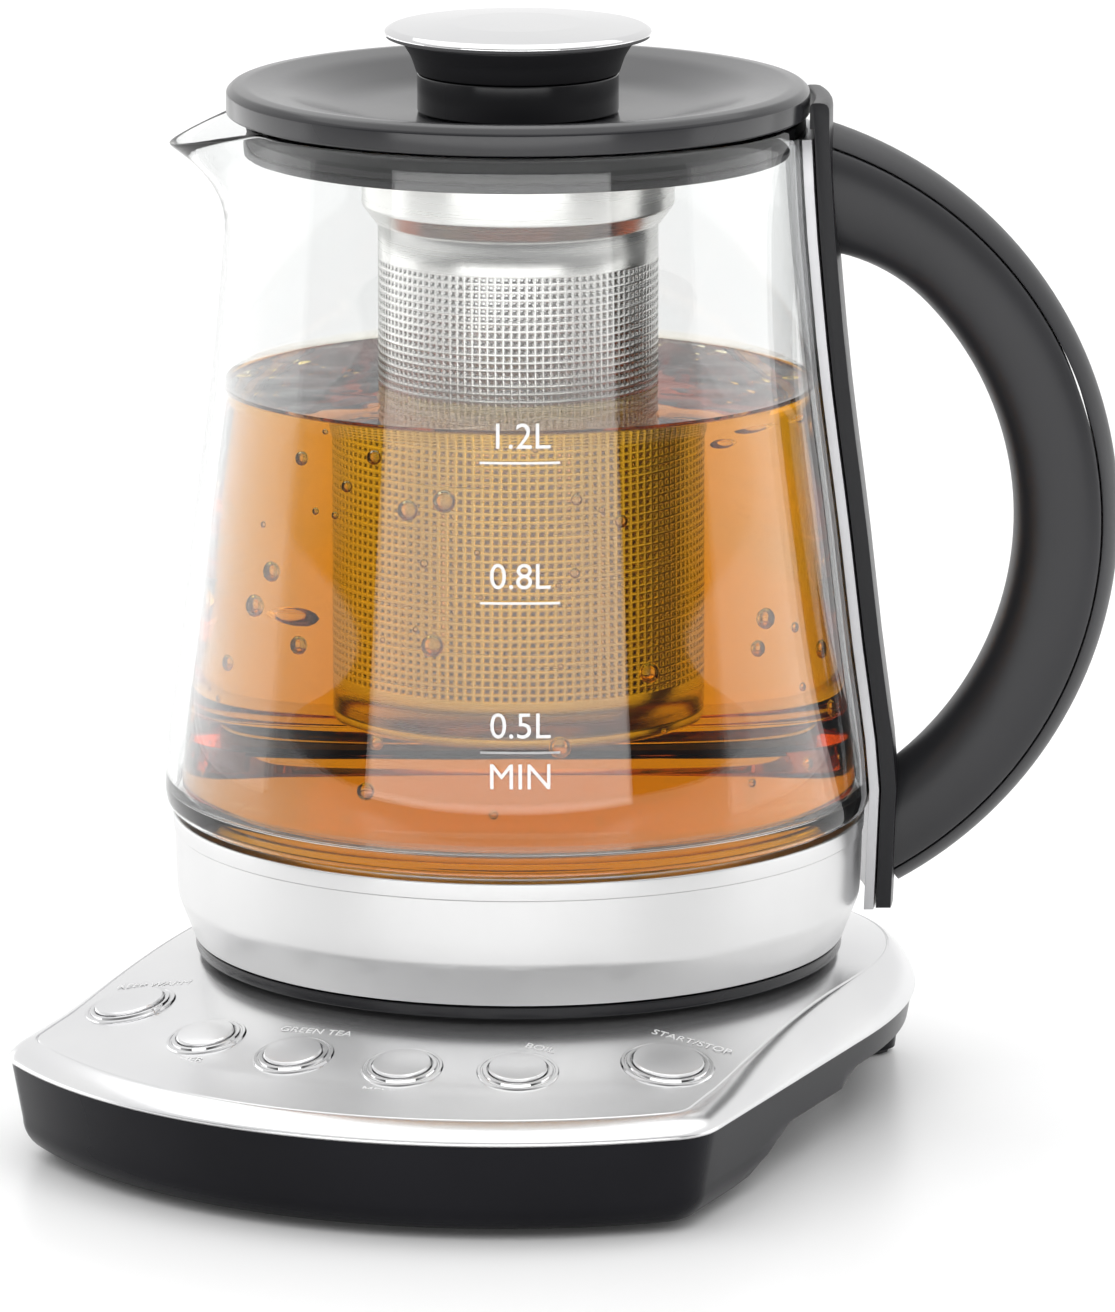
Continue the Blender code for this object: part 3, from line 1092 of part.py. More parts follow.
def make_glass(turn):
    holder = turned("glass_carafe", glass_outline(), GLASS, turn, GLASS_STEPS)
    bpy.context.view_layer.update()
    mesh = bpy.data.meshes.new_from_object(holder.evaluated_get(bpy.context.evaluated_depsgraph_get()))
    holder.modifiers.clear()
    pull_spout(mesh)
    holder.data = mesh
    wall(holder, GLASS_WALL)


def strip_sides(inner_gap, thickness, top):
    """A strip's inner and outer sides, from its top down the glass and the band."""
    heights = [top]
    for share, _ in GLASS_FLARE_SHARES:
        height = mix(GLASS_RIM_Z, GLASS_BELLY_Z, share)
        if height < top:
            heights.append(height)
    inner = [(glass_radius(height) + inner_gap, height) for height in heights]
    inner.append((GLASS_BELLY_RADIUS + inner_gap - STRIP_BOTTOM_INSET, STRIP_BOTTOM_Z))
    outer = [(radius + thickness, height) for radius, height in inner]
    return inner, outer


def bracket_outline():
    """The bracket's section, with the curl at its top that reaches in to the lid."""
    inner, outer = strip_sides(BRACKET_GAP, BRACKET_THICKNESS, BRACKET_CURL_Z)
    reach = outer[0][0]
    curl = [(BRACKET_CURL_RADIUS, BRACKET_CURL_Z),
            (BRACKET_CURL_RADIUS, BRACKET_TOP_Z - BRACKET_CURL_ROUND / 2),
            (BRACKET_CURL_RADIUS + BRACKET_CURL_ROUND / 2, BRACKET_TOP_Z),
            (reach - BRACKET_CURL_ROUND, BRACKET_TOP_Z),
            (reach, BRACKET_TOP_Z - BRACKET_CURL_ROUND)]
    return curl + outer + list(reversed(inner))


def slab(name, half_width, turn):
    """Keeps the stretch of a turned shape that lies on the handle's side."""
    reach = GLASS_BELLY_RADIUS
    size = (reach, half_width + half_width, BRACKET_TOP_Z + BRACKET_TOP_Z)
    return guide(name, block_mesh(name, size, (reach / 2 + GLASS_RIM_RADIUS / 2, 0.0, 0.0)), turn)


def make_strips(turn):
    inner, outer = strip_sides(GAP, TRIM_THICKNESS, TRIM_TOP_Z)
    trim = turned("bracket_trim", outer + list(reversed(inner)), GREY_METAL, turn, GLASS_STEPS, True)
    keep(trim, slab("trim_slab", TRIM_HALF_WIDTH, turn))
    bracket = turned("handle_bracket", bracket_outline(), BLACK, turn, GLASS_STEPS, True)
    keep(bracket, slab("bracket_slab", BRACKET_HALF_WIDTH, turn))
    return trim, bracket


def handle_rings():
    """The handle's sections from its upper root to its lower one."""
    rings = []
    power = 2 / HANDLE_ROUNDNESS
    for station in range(HANDLE_STATIONS):
        share = station / (HANDLE_STATIONS - 1)
        angle = mix(HANDLE_TOP_ANGLE, HANDLE_BOTTOM_ANGLE, share)
        flare = HANDLE_ROOT_FLARE * max(0.0, 1 - share / HANDLE_ROOT_SHARE) ** 2
        out = Vector((math.cos(angle), 0.0, math.sin(angle)))
        centre = Vector((HANDLE_CENTRE_X, 0.0, HANDLE_CENTRE_Z)) + out * HANDLE_RADIUS
        ring = []
        for step in range(HANDLE_SECTION_POINTS):
            around = math.tau * (step + 0.5) / HANDLE_SECTION_POINTS
            along = math.copysign(abs(math.cos(around)) ** power, math.cos(around))
            across = math.copysign(abs(math.sin(around)) ** power, math.sin(around))
            depth = HANDLE_HALF_THICKNESS + (flare if along < 0.0 else 0.0)
            ring.append(centre + out * along * depth + Vector((0.0, across * HANDLE_HALF_WIDTH, 0.0)))
        rings.append(ring)
    return rings


def handle_reach():
    """How far the handle reaches to the right of the kettle's axis as the kettle rests."""
    turn = Matrix.Rotation(KETTLE_TURN, 3, "Z")
    return max((turn @ point).x for ring in handle_rings() for point in ring)


def handle_wheel(name, radius, turn):
    """A wheel about the handle's centre that parts the cover from the rest."""
    half = HANDLE_HALF_WIDTH + OVERRUN
    wheel = rod_mesh(name, radius, -half, half, BIG_STEPS + BIG_STEPS)
    wheel.transform(Matrix.Translation((HANDLE_CENTRE_X, 0.0, HANDLE_CENTRE_Z))
                    @ Matrix.Rotation(math.pi / 2, 4, "X"))
    return guide(name, wheel, turn)


def cross_rod(name, radius, near, far, height, turn):
    """A rod along the kettle's own X, from near to far at a height."""
    rod = rod_mesh(name, radius, near, far, SCREW_STEPS)
    rod.transform(Matrix.Translation((0.0, 0.0, height)) @ Matrix.Rotation(math.pi / 2, 4, "Y"))
    return guide(name, rod, turn)


def make_handle(turn):
    trim, bracket = make_strips(turn)
    _, outer = strip_sides(BRACKET_GAP, BRACKET_THICKNESS + GAP, BRACKET_CURL_Z)
    core = [(0.0, BRACKET_TOP_Z + OVERRUN), (outer[0][0], BRACKET_TOP_Z + OVERRUN)] + outer
    core.append((outer[-1][0], STRIP_BOTTOM_Z - HANDLE_HALF_THICKNESS))
    core.append((0.0, STRIP_BOTTOM_Z - HANDLE_HALF_THICKNESS))
    seat = turned_guide("handle_seat", core, turn, GLASS_STEPS)
    body = part("handle", loft_mesh("handle", handle_rings(), True), CHARCOAL, turn)
    cut(body, seat)
    keep(body, handle_wheel("body_wheel", HANDLE_RADIUS + HANDLE_COVER_OFFSET, turn))
    cover = part("handle_cover", loft_mesh("handle_cover", handle_rings(), True), CHARCOAL, turn)
    cut(cover, seat)
    cut(cover, handle_wheel("cover_wheel", HANDLE_RADIUS + HANDLE_COVER_OFFSET + GAP, turn))
    heights = (BRACKET_TOP_Z - HANDLE_SCREW_TOP_MARGIN, STRIP_BOTTOM_Z + HANDLE_SCREW_BOTTOM_MARGIN)
    for number, height in enumerate(heights, 1):
        face = glass_radius(max(height, GLASS_BELLY_Z)) + BRACKET_GAP
        near = GLASS_RIM_RADIUS / 2
        tip = face - HANDLE_SCREW_INSET + HANDLE_SCREW_LENGTH
        shank = HANDLE_SCREW_RADIUS + GAP
        cut(trim, cross_rod(f"trim_hole_{number}", HANDLE_SCREW_HEAD + GAP, near, tip, height, turn))
        cut(bracket, cross_rod(f"bracket_hole_{number}", shank, near, tip, height, turn))
        cut(body, cross_rod(f"handle_pilot_{number}", shank, near, tip + GAP, height, turn))
        made = screw(f"handle_screw_{number}", HANDLE_SCREW_RADIUS, HANDLE_SCREW_HEAD,
                     HANDLE_SCREW_HEAD_HEIGHT, HANDLE_SCREW_LENGTH, STEEL, turn)
        made.rotation_euler = (0.0, math.pi / 2, 0.0)
        made.location = (face - HANDLE_SCREW_INSET, 0.0, height)


def lid_dish(drop):
    """The dish's curve from its flat middle up to the rim, lowered by drop."""
    points = []
    for share in arc(LID_DISH_POINTS, 0.0, 1.0):
        rise = (1 - math.cos(math.pi * share)) / 2
        points.append((mix(LID_DISH_RADIUS, LID_RIM_RADIUS - drop, share),
                       mix(LID_DISH_Z, LID_RIM_Z, rise) - drop))
    return points


def make_lid(turn):
    hole = KNOB_SCREW_RADIUS + GAP
    skirt = LID_RADIUS - LID_SKIRT_WALL
    outside = [(hole, LID_DISH_Z)] + lid_dish(0.0)
    out_share, down_share = LID_SHOULDER_SHARES
    outside += [(mix(LID_RIM_RADIUS, LID_RADIUS, out_share), mix(LID_RIM_Z, LID_CREASE_Z, down_share)),
                (LID_RADIUS, LID_CREASE_Z - GAP), (LID_RADIUS, LID_EDGE_Z), (skirt, LID_EDGE_Z)]
    outside += list(reversed(lid_dish(LID_THICKNESS))) + [(hole, LID_DISH_Z - LID_THICKNESS)]
    turned("lid_cover", outside, CHARCOAL, turn, BIG_STEPS, True)
    under = LID_DISH_Z - LID_THICKNESS - GAP
    floor_top = PLUG_BOTTOM_Z + PLUG_WALL
    inner = PLUG_RADIUS - PLUG_WALL
    turned("lid_plug",
           [(inner, PLUG_WALL_TOP_Z), (PLUG_RADIUS, PLUG_WALL_TOP_Z), (PLUG_RADIUS, floor_top),
            (PLUG_FLANGE_RADIUS, floor_top), (PLUG_FLANGE_RADIUS, PLUG_BOTTOM_Z), (hole, PLUG_BOTTOM_Z),
            (hole, under), (KNOB_BOSS_RADIUS, under), (KNOB_BOSS_RADIUS, floor_top), (inner, floor_top)],
           BLACK, turn, BIG_STEPS, True)
    near = PLUG_RADIUS + GAP
    waist = mix(near, PLUG_SEAL_RADIUS, SEAL_WAIST_SHARE)
    low = floor_top + GAP
    middle = (low + PLUG_SEAL_TOP_Z) / 2
    turned("lid_seal",
           [(near, PLUG_SEAL_TOP_Z), (PLUG_SEAL_RADIUS, PLUG_SEAL_TOP_Z), (waist, middle),
            (PLUG_SEAL_RADIUS, low), (near, low)],
           RUBBER, turn, BIG_STEPS, True)


def make_knob(turn):
    hole = KNOB_SCREW_RADIUS + GAP
    low = LID_DISH_Z + GAP
    plate = KNOB_NECK_TOP_Z - KNOB_WALL
    wall_inner = KNOB_NECK_RADIUS - KNOB_WALL
    turned("knob_neck",
           [(hole, KNOB_NECK_TOP_Z), (KNOB_NECK_RADIUS, KNOB_NECK_TOP_Z), (KNOB_NECK_RADIUS, low),
            (wall_inner, low), (wall_inner, plate), (KNOB_BOSS_RADIUS, plate), (KNOB_BOSS_RADIUS, low),
            (hole, low)], BLACK, turn, KNOB_STEPS, True)
    seat = KNOB_NECK_TOP_Z + GAP
    flare = [(KNOB_NECK_RADIUS + (KNOB_COLLAR_RADIUS - KNOB_NECK_RADIUS) * (1 - math.cos(a)),
              mix(seat, KNOB_COLLAR_TOP_Z, math.sin(a))) for a in arc(KNOB_COLLAR_POINTS)]
    inside = [(radius - KNOB_WALL, max(height, seat + KNOB_WALL)) for radius, height in flare]
    boss_top = KNOB_COLLAR_TOP_Z - KNOB_WALL
    turned("knob_collar",
           list(reversed(flare)) + [(hole, seat), (hole, boss_top), (KNOB_BOSS_RADIUS, boss_top),
                                    (KNOB_BOSS_RADIUS, seat + KNOB_WALL)] + inside[1:],
           CHARCOAL, turn, KNOB_STEPS, True)
    under = KNOB_COLLAR_TOP_Z + GAP
    spigot = flare[1][0] - KNOB_WALL - GAP
    turned("knob_disc",
           [(0.0, KNOB_DISC_TOP_Z), (KNOB_DISC_RADIUS / 2, KNOB_DISC_TOP_Z - GAP),
            (KNOB_DISC_RADIUS - KNOB_WALL / 2, KNOB_DISC_EDGE_Z + GAP),
            (KNOB_DISC_RADIUS, KNOB_DISC_EDGE_Z - GAP),
            (KNOB_DISC_RADIUS - GAP, under), (spigot, under), (spigot, under - KNOB_WALL),
            (spigot - KNOB_WALL, under - KNOB_WALL), (spigot - KNOB_WALL, under), (0.0, under)],
           POLISHED, turn, KNOB_STEPS)
    length = boss_top - GAP - (MOUNT_PLATE_Z - GAP)
    made = screw("knob_screw", KNOB_SCREW_RADIUS, KNOB_SCREW_HEAD, SCREW_HEAD_HEIGHT, length, STEEL, turn)
    made.location = (0.0, 0.0, MOUNT_PLATE_Z - GAP)


def wedge(name, middle, half_angle, near, far, low, high, parent):
    """An upright wedge between two radii, about the kettle's axis."""
    sweep = arc(WEDGE_POINTS, middle - half_angle, middle + half_angle)
    outer = [(far * math.cos(a), far * math.sin(a)) for a in sweep]
    inner = [(near * math.cos(a), near * math.sin(a)) for a in reversed(sweep)]
    return guide(name, extruded_mesh(name, outer + inner, low, high), parent)


def make_infuser_mount(turn):
    top = PLUG_BOTTOM_Z - GAP
    hole = KNOB_SCREW_RADIUS + GAP
    inner = MOUNT_RADIUS - MOUNT_WALL
    mount = turned("infuser_mount",
                   [(hole, top), (MOUNT_RADIUS, top), (MOUNT_RADIUS, MOUNT_BOTTOM_Z), (inner, MOUNT_BOTTOM_Z),
                    (inner, MOUNT_PLATE_Z), (hole, MOUNT_PLATE_Z)], BLACK, turn, BIG_STEPS, True)
    high = LOCK_RING_Z - GAP
    for number in range(LUG_COUNT):
        middle = math.tau * number / LUG_COUNT
        join(mount, wedge(f"lug_{number + 1}", middle, LUG_HALF_ANGLE, MOUNT_RADIUS - MOUNT_WALL / 2,
                          LUG_RADIUS, high - LUG_HEIGHT, high, turn))


def make_infuser(turn):
    sheet = COLLAR_RADIUS - INFUSER_WALL
    tube_inner = TUBE_RADIUS - INFUSER_WALL
    foot = TUBE_RADIUS + GAP
    collar = turned("infuser_collar",
                    [(sheet, COLLAR_TOP_Z), (COLLAR_RADIUS, COLLAR_TOP_Z), (COLLAR_RADIUS, COLLAR_BOTTOM_Z),
                     (foot + INFUSER_WALL, TUBE_NECK_Z), (foot, TUBE_NECK_Z), (sheet, COLLAR_BOTTOM_Z + GAP),
                     (sheet, LOCK_RING_Z), (LOCK_RING_INNER, LOCK_RING_Z),
                     (LOCK_RING_INNER, LOCK_RING_Z + LOCK_RING_THICKNESS),
                     (sheet, LOCK_RING_Z + LOCK_RING_THICKNESS)],
                    STEEL, turn, BIG_STEPS, True)
    for number in range(LUG_COUNT):
        middle = math.tau * (number + 0.5) / LUG_COUNT
        cut(collar, wedge(f"lock_gap_{number + 1}", middle, LOCK_GAP_HALF_ANGLE, LOCK_RING_INNER - OVERRUN,
                          sheet - GAP / 2, LOCK_RING_Z - OVERRUN,
                          LOCK_RING_Z + LOCK_RING_THICKNESS + OVERRUN, turn))
    turned("infuser_tube", [(tube_inner, TUBE_TOP_Z), (TUBE_RADIUS, TUBE_TOP_Z), (TUBE_RADIUS, TUBE_BOTTOM_Z),
                            (tube_inner, TUBE_BOTTOM_Z)], STEEL, turn, BIG_STEPS, True)
    rim = tube_inner - GAP
    floor_top = INFUSER_BOTTOM_Z + INFUSER_WALL
    shoulder = TUBE_BOTTOM_Z - GAP
    turned("infuser_bottom",
           [(0.0, floor_top), (rim - INFUSER_WALL, floor_top),
            (rim - INFUSER_WALL, shoulder + INFUSER_BOTTOM_RIM),
            (rim, shoulder + INFUSER_BOTTOM_RIM), (rim, shoulder), (TUBE_RADIUS, shoulder),
            (TUBE_RADIUS - INFUSER_BOTTOM_ROUND, INFUSER_BOTTOM_Z), (0.0, INFUSER_BOTTOM_Z)],
           STEEL, turn, BIG_STEPS)


def assemble():
    half_spare = (handle_reach() - BASE_HALF_WIDTH) / 2
    lead = (BASE_FRONT_REACH - BASE_BACK_REACH) / 2
    axis = empty("kettle_axis", None, (-half_spare, lead, 0.0))
    turn = empty("kettle_turn", axis, (0.0, 0.0, 0.0), (0.0, 0.0, KETTLE_TURN))
    buttons = []
    for number, angle in enumerate(BUTTON_ANGLES, 1):
        place, tilt = button_place(angle)
        buttons.append(empty(f"button_place_{number}", axis, place, tilt))
    make_top_plate(axis, buttons)
    make_housing(axis)
    make_frame(axis, buttons)
    make_buttons(buttons)
    make_boards(axis)
    make_feet(axis)
    make_base_screws(axis)
    make_inlet(axis)
    make_connector(axis)
    make_socket(turn)
    make_underbody(turn)
    make_heater(turn)
    make_glass(turn)
    make_handle(turn)
    make_lid(turn)
    make_knob(turn)
    make_infuser_mount(turn)
    make_infuser(turn)


assemble()
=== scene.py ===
"""The looks of an electric tea kettle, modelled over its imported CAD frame.

Lengths in the tables at the top are millimetres, apart from the studio's, which are metres. A profile
is a row of (radius, height, fillet) about the kettle's upright axis. Heights are above the surface
that the base stands on.
"""

import math
import random

import bmesh
import bpy
from mathutils import Matrix, Vector, noise


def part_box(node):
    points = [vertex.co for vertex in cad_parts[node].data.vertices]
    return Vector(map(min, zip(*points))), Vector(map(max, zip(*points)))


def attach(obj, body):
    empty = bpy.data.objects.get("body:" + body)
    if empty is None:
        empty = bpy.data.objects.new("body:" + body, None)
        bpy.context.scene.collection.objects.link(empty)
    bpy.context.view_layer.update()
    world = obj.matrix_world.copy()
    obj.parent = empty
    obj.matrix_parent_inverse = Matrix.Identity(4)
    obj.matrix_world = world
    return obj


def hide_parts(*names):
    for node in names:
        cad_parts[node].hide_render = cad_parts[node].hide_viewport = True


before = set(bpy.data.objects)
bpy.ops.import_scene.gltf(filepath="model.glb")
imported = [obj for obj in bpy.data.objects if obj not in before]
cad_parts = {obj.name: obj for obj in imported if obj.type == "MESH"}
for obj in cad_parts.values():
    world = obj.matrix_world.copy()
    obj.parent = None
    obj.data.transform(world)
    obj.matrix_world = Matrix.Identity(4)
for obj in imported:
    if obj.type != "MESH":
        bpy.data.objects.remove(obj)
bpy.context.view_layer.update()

MM = 0.001

# The kettle's axis and how the carafe rests on its base
BASE_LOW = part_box("base_top_plate")[0]
BASE_HALF_WIDTH = 80.0
BASE_FRONT_REACH = 120.0
AXIS_X = BASE_LOW.x / MM + BASE_HALF_WIDTH
AXIS_Y = BASE_LOW.y / MM + BASE_FRONT_REACH
KETTLE_TURN = math.radians(24)
ON_BASE = Matrix.Translation((AXIS_X * MM, AXIS_Y * MM, 0.0))
ON_KETTLE = ON_BASE @ Matrix.Rotation(KETTLE_TURN, 4, "Z")

# Camera of the photograph
PHOTO_HEIGHT = 1312
FOCAL_PIXELS = 9423
SENSOR_HEIGHT = 24.0
CAMERA_DISTANCE = 1961.0
CAMERA_HEIGHT = 520.9
CAMERA_RIGHT = 8.3
CAMERA_AZIMUTH = math.radians(23.5)
CAMERA_PITCH = math.radians(12.207)
CAMERA_REACH = 20000.0

# Studio: each box's name, azimuth from the camera's, distance, height, width, length and power
FLOOR_HALF = 6.0
BACKDROP_STRENGTH = 1.0
ROOM_STRENGTH = 0.10
BACKDROP_TURN = (-0.45, 0.3)
BACKDROP_RISE = 1.6
SOFTBOXES = (("low front box", -6.5, 0.9, 0.15, 1.66, 0.20, 2.5),
             ("left box", -118.0, 0.75, 0.10, 0.90, 0.20, 0.46),
             ("right box", 93.5, 0.75, 0.10, 0.65, 0.20, 0.31))
# The box overhead: name, distance behind the kettle, height, side and power
OVERHEAD = ("overhead box", 0.5, 2.4, 4.2, 44.0)

# Facets
ROUND_STEPS = 96
FINE_STEPS = 144
FILLET_STEPS = 4
FILLET_REACH = 0.48
RIM_STEPS = 7
SHARP_ANGLE = math.radians(40)
WELD = 0.002
SEAM_WELD = 0.01

# Glass, with its side as rows of height and radius
GLASS_WALL = 2.2
GLASS_SIDE = ((213.5, 60.5), (193.4, 61.6), (178.2, 62.9), (165.5, 64.1), (153.0, 65.5), (128.4, 68.7),
              (101.5, 71.8), (81.3, 74.5), (70.5, 75.4))
GLASS_FOOT_OUTSIDE = ((71.4, 64.9, 2.5), (75.0, 66.2, 3.0), (75.4, 69.6, 0.0))
GLASS_FOOT_INSIDE = ((73.2, 72.4, 0.0), (72.9, 69.9, 2.4), (66.3, 69.3, 1.2), (66.3, 64.9, 0.0))
GLASS_RINGS = 44
SPOUT_REACH = 13.6
SPOUT_DROP = 6.0
SPOUT_HEIGHT = 26.0
SPOUT_HALF_ANGLE = math.radians(30)
SPOUT_CURVE = 2.4

# Tea, with its edge as rows of distance inwards and share of the meniscus
TEA_TOP = 156.3
TEA_GAP = 1.4
TEA_MENISCUS = 1.2
TEA_FOOT = ((0.0, 63.3, 0.0), (63.8, 63.3, 0.3), (63.8, 69.9, 1.5), (71.6, 70.2, 1.6), (71.7, 73.0, 0.0))
TEA_EDGE = ((0.5, 0.75), (1.0, 0.45), (1.7, 0.22), (2.6, 0.07), (3.6, 0.0))
TEA_LIP = 1.3
TEA_RIPPLE_RINGS = 36
TEA_RIPPLE = 0.2
TEA_RIPPLE_SCALE = 0.09
TEA_FINE_RIPPLE_SCALE = 0.207
TEA_SIDE_START = 74.0
TEA_CALM_EDGE = 8.0
BUBBLE_COUNT = 110
BUBBLE_SIZES = (0.6, 2.7)
BUBBLE_HEIGHTS = (76.0, 154.0)
BUBBLE_DEPTH = 3.5
BUBBLE_SEED = 11
BUBBLE_DETAIL = 2

# Steel band, foot and heater
BAND_PROFILE = ((69.0, 64.5, 0.0), (73.9, 64.5, 0.5), (73.7, 60.9, 0.0), (73.4, 60.6, 0.0), (73.2, 52.0, 0.0),
                (72.9, 46.4, 6.0), (69.4, 37.4, 0.5), (68.6, 37.4, 0.0), (71.9, 46.6, 6.0), (72.3, 60.0, 0.0),
                (72.3, 63.6, 0.0), (69.0, 63.6, 0.0))
FOOT_PROFILE = ((67.2, 44.0, 0.0), (67.9, 44.0, 0.0), (67.9, 37.0, 0.0), (69.1, 37.0, 0.4), (69.1, 34.5, 0.5),
                (63.0, 34.3, 0.6), (52.0, 34.3, 0.6), (50.0, 36.0, 0.5), (19.4, 36.0, 0.3), (19.4, 38.0, 0.0),
                (67.2, 38.0, 0.0))
HEATER_PROFILE = ((0.0, 63.1, 0.0), (56.0, 63.1, 3.0), (58.0, 62.4, 3.0), (66.0, 62.4, 2.0),
                  (68.8, 63.1, 0.0), (68.8, 61.5, 0.0), (0.0, 61.5, 0.0))

# Lid and knob
LID_PROFILE = ((2.4, 213.9, 0.0), (22.0, 213.9, 8.0), (36.0, 214.9, 40.0), (50.0, 219.0, 30.0),
               (57.4, 220.0, 6.0), (60.2, 219.7, 1.5), (61.4, 218.6, 1.2), (61.4, 214.0, 0.5),
               (59.0, 214.0, 0.3), (58.6, 216.4, 1.0), (46.0, 216.0, 8.0), (24.0, 212.0, 4.0),
               (2.4, 212.0, 0.0))
PLUG_PROFILE = ((53.8, 212.8, 0.0), (55.6, 212.8, 0.3), (55.6, 207.4, 0.3), (57.2, 207.4, 0.5),
                (57.2, 205.6, 0.8), (2.4, 205.6, 0.0), (2.4, 211.6, 0.0), (5.5, 211.6, 0.0),
                (5.5, 207.4, 0.0), (53.8, 207.4, 0.0))
SEAL_PROFILE = ((55.9, 212.0, 0.2), (57.6, 212.0, 0.5), (57.0, 209.9, 0.4), (57.6, 207.8, 0.5),
                (55.9, 207.7, 0.2))
NECK_PROFILE = ((2.4, 222.2, 0.0), (21.2, 222.2, 0.3), (21.2, 214.3, 0.3), (19.0, 214.3, 0.0),
                (19.0, 220.0, 0.0), (5.5, 220.0, 0.0), (5.5, 214.5, 0.0), (2.4, 214.5, 0.0))
COLLAR_PROFILE = ((23.0, 229.6, 0.2), (24.9, 229.6, 0.4), (22.6, 226.0, 8.0), (21.4, 222.5, 0.4),
                  (2.4, 222.5, 0.0), (2.4, 227.4, 0.0), (5.5, 227.4, 0.0), (5.5, 224.7, 0.0),
                  (19.6, 224.7, 1.0))
DISC_PROFILE = ((0.0, 233.0, 0.0), (14.0, 232.8, 30.0), (26.8, 232.0, 2.0), (28.2, 231.2, 0.7),
                (27.9, 229.95, 0.4), (18.9, 229.9, 0.0), (18.9, 227.7, 0.3), (16.7, 227.7, 0.3),
                (16.7, 229.9, 0.0), (0.0, 229.9, 0.0))

# Infuser
TUBE_RADIUS = 29.6
INFUSER_WALL = 0.6
TUBE_TOP = 196.4
TUBE_BOTTOM = 86.2
HOLES_TOP = 183.7
HOLES_BOTTOM = 93.8
HOLE_COLUMNS = 112
HOLE_ROWS = 54
HOLE_SIDE = 0.72
MOUNT_PROFILE = ((2.4, 205.3, 0.0), (30.2, 205.3, 0.3), (30.2, 197.0, 0.3), (28.0, 197.0, 0.3),
                 (28.0, 203.3, 0.5), (2.4, 203.3, 0.0))
CUP_PROFILE = ((0.0, 84.2, 0.0), (28.1, 84.2, 1.8), (28.1, 88.9, 0.0), (28.7, 88.9, 0.0), (28.7, 85.9, 0.0),
               (29.6, 85.9, 0.3), (29.5, 83.6, 2.2), (0.0, 83.6, 0.0))
COLLAR_RING_PROFILE = ((32.4, 205.0, 0.0), (33.0, 205.0, 0.2), (33.0, 194.8, 1.2), (30.5, 191.4, 0.8),
                       (30.4, 191.2, 0.0), (29.9, 191.2, 0.0), (32.4, 195.0, 1.0))
LOCK_RING_PROFILE = ((30.6, 202.0, 0.2), (32.5, 202.0, 0.0), (32.5, 200.8, 0.0), (30.6, 200.8, 0.2))
LOCK_COUNT = 3
LOCK_HALF_TURN = math.radians(44)
LOCK_STEPS = 16
LUG_PROFILE = ((29.6, 200.5, 0.0), (31.7, 200.5, 0.3), (31.7, 199.0, 0.3), (29.6, 199.0, 0.0))
LUG_HALF_ANGLE = math.radians(11)
LUG_STEPS = 8

# Handle and its bracket, with each seat as two points on its cut and the heights that it cuts between
HANDLE_CENTRE_X = 38.0
HANDLE_CENTRE_Z = 126.5
HANDLE_RADIUS = 78.3
HANDLE_TOP_ANGLE = math.radians(74)
HANDLE_BOTTOM_ANGLE = math.radians(-61)
HANDLE_HALF_THICKNESS = 11.15
HANDLE_HALF_WIDTH = 11.0
HANDLE_ROUNDNESS = 2.3
HANDLE_ROOT_FLARE = 7.0
HANDLE_ROOT_SHARE = 0.22
HANDLE_COVER_OFFSET = 7.1
HANDLE_SEAM = 0.35
HANDLE_SEAM_ROUND = 0.4
HANDLE_SEATS = (((66.4, 185.0), (64.6, 213.0), 126.5, 230.0), ((78.5, 44.5), (79.5, 70.5), 30.0, 126.5))
HANDLE_STEPS = 72
SECTION_POINTS = 48
TRIM_GAP = 0.3
TRIM_THICKNESS = 2.0
TRIM_HALF_WIDTH = 14.5
TRIM_TOP = 210.0
BRACKET_GAP = 2.6
BRACKET_THICKNESS = 3.1
BRACKET_HALF_WIDTH = 13.0
BRACKET_TOP = 217.5
BRACKET_CURL_Z = 212.0
BRACKET_CURL_RADIUS = 62.3
BRACKET_CURL_ROUNDS = (0.3, 1.0, 2.4)
STRIP_BOTTOM = 44.5
STRIP_BOTTOM_INSET = 1.0
STRIP_STEPS = 14
STRIP_HALF_TURN = math.radians(16)
STRIP_TURN_STEPS = 24
STRIP_ROUND = 0.7
STRIP_SHARP_ANGLE = math.radians(50)
ROUND_SEGMENTS = 3

# Base outline and section, forward and to the right of the kettle's axis
BASE_BACK_REACH = 96.0
FRONT_ARC_RADIUS = 113.0
FRONT_CORNER_RADIUS = 14.0
BACK_SQUARENESS = 2.3
SEAT_Z = 34.0
SEAT_RADIUS = 64.0
PANEL_SLOPE = math.radians(12.7)
PANEL_FLARE_START = 98.0
PANEL_FLARE_SLOPE = math.radians(5.5)
SHOULDER_WIDTH = 5.5
SHOULDER_ROUNDNESS = 0.45
CREASE_EDGE = 0.15
CREASE_WIDTH = 0.5
CREASE_END = 0.75
CREASE_DEPTH = 0.3
PLATE_EDGE_Z = 20.7
PLATE_THICKNESS = 1.0
CONNECTOR_HOLE = 15.3
HOUSING_INSET = 0.6
HOUSING_TAPER = 2.2
HOUSING_ROUND = 7.0
HOUSING_BOTTOM = 1.2
HOUSING_RIM = 20.5
POD_END = 60.0
POD_SLOPE_RUN = 24.0
MIDDLE_UNDERSIDE = 11.5
MIDDLE_END = 8.0
BACK_SLOPE_RUN = 8.0
BACK_UNDERSIDE = 15.0

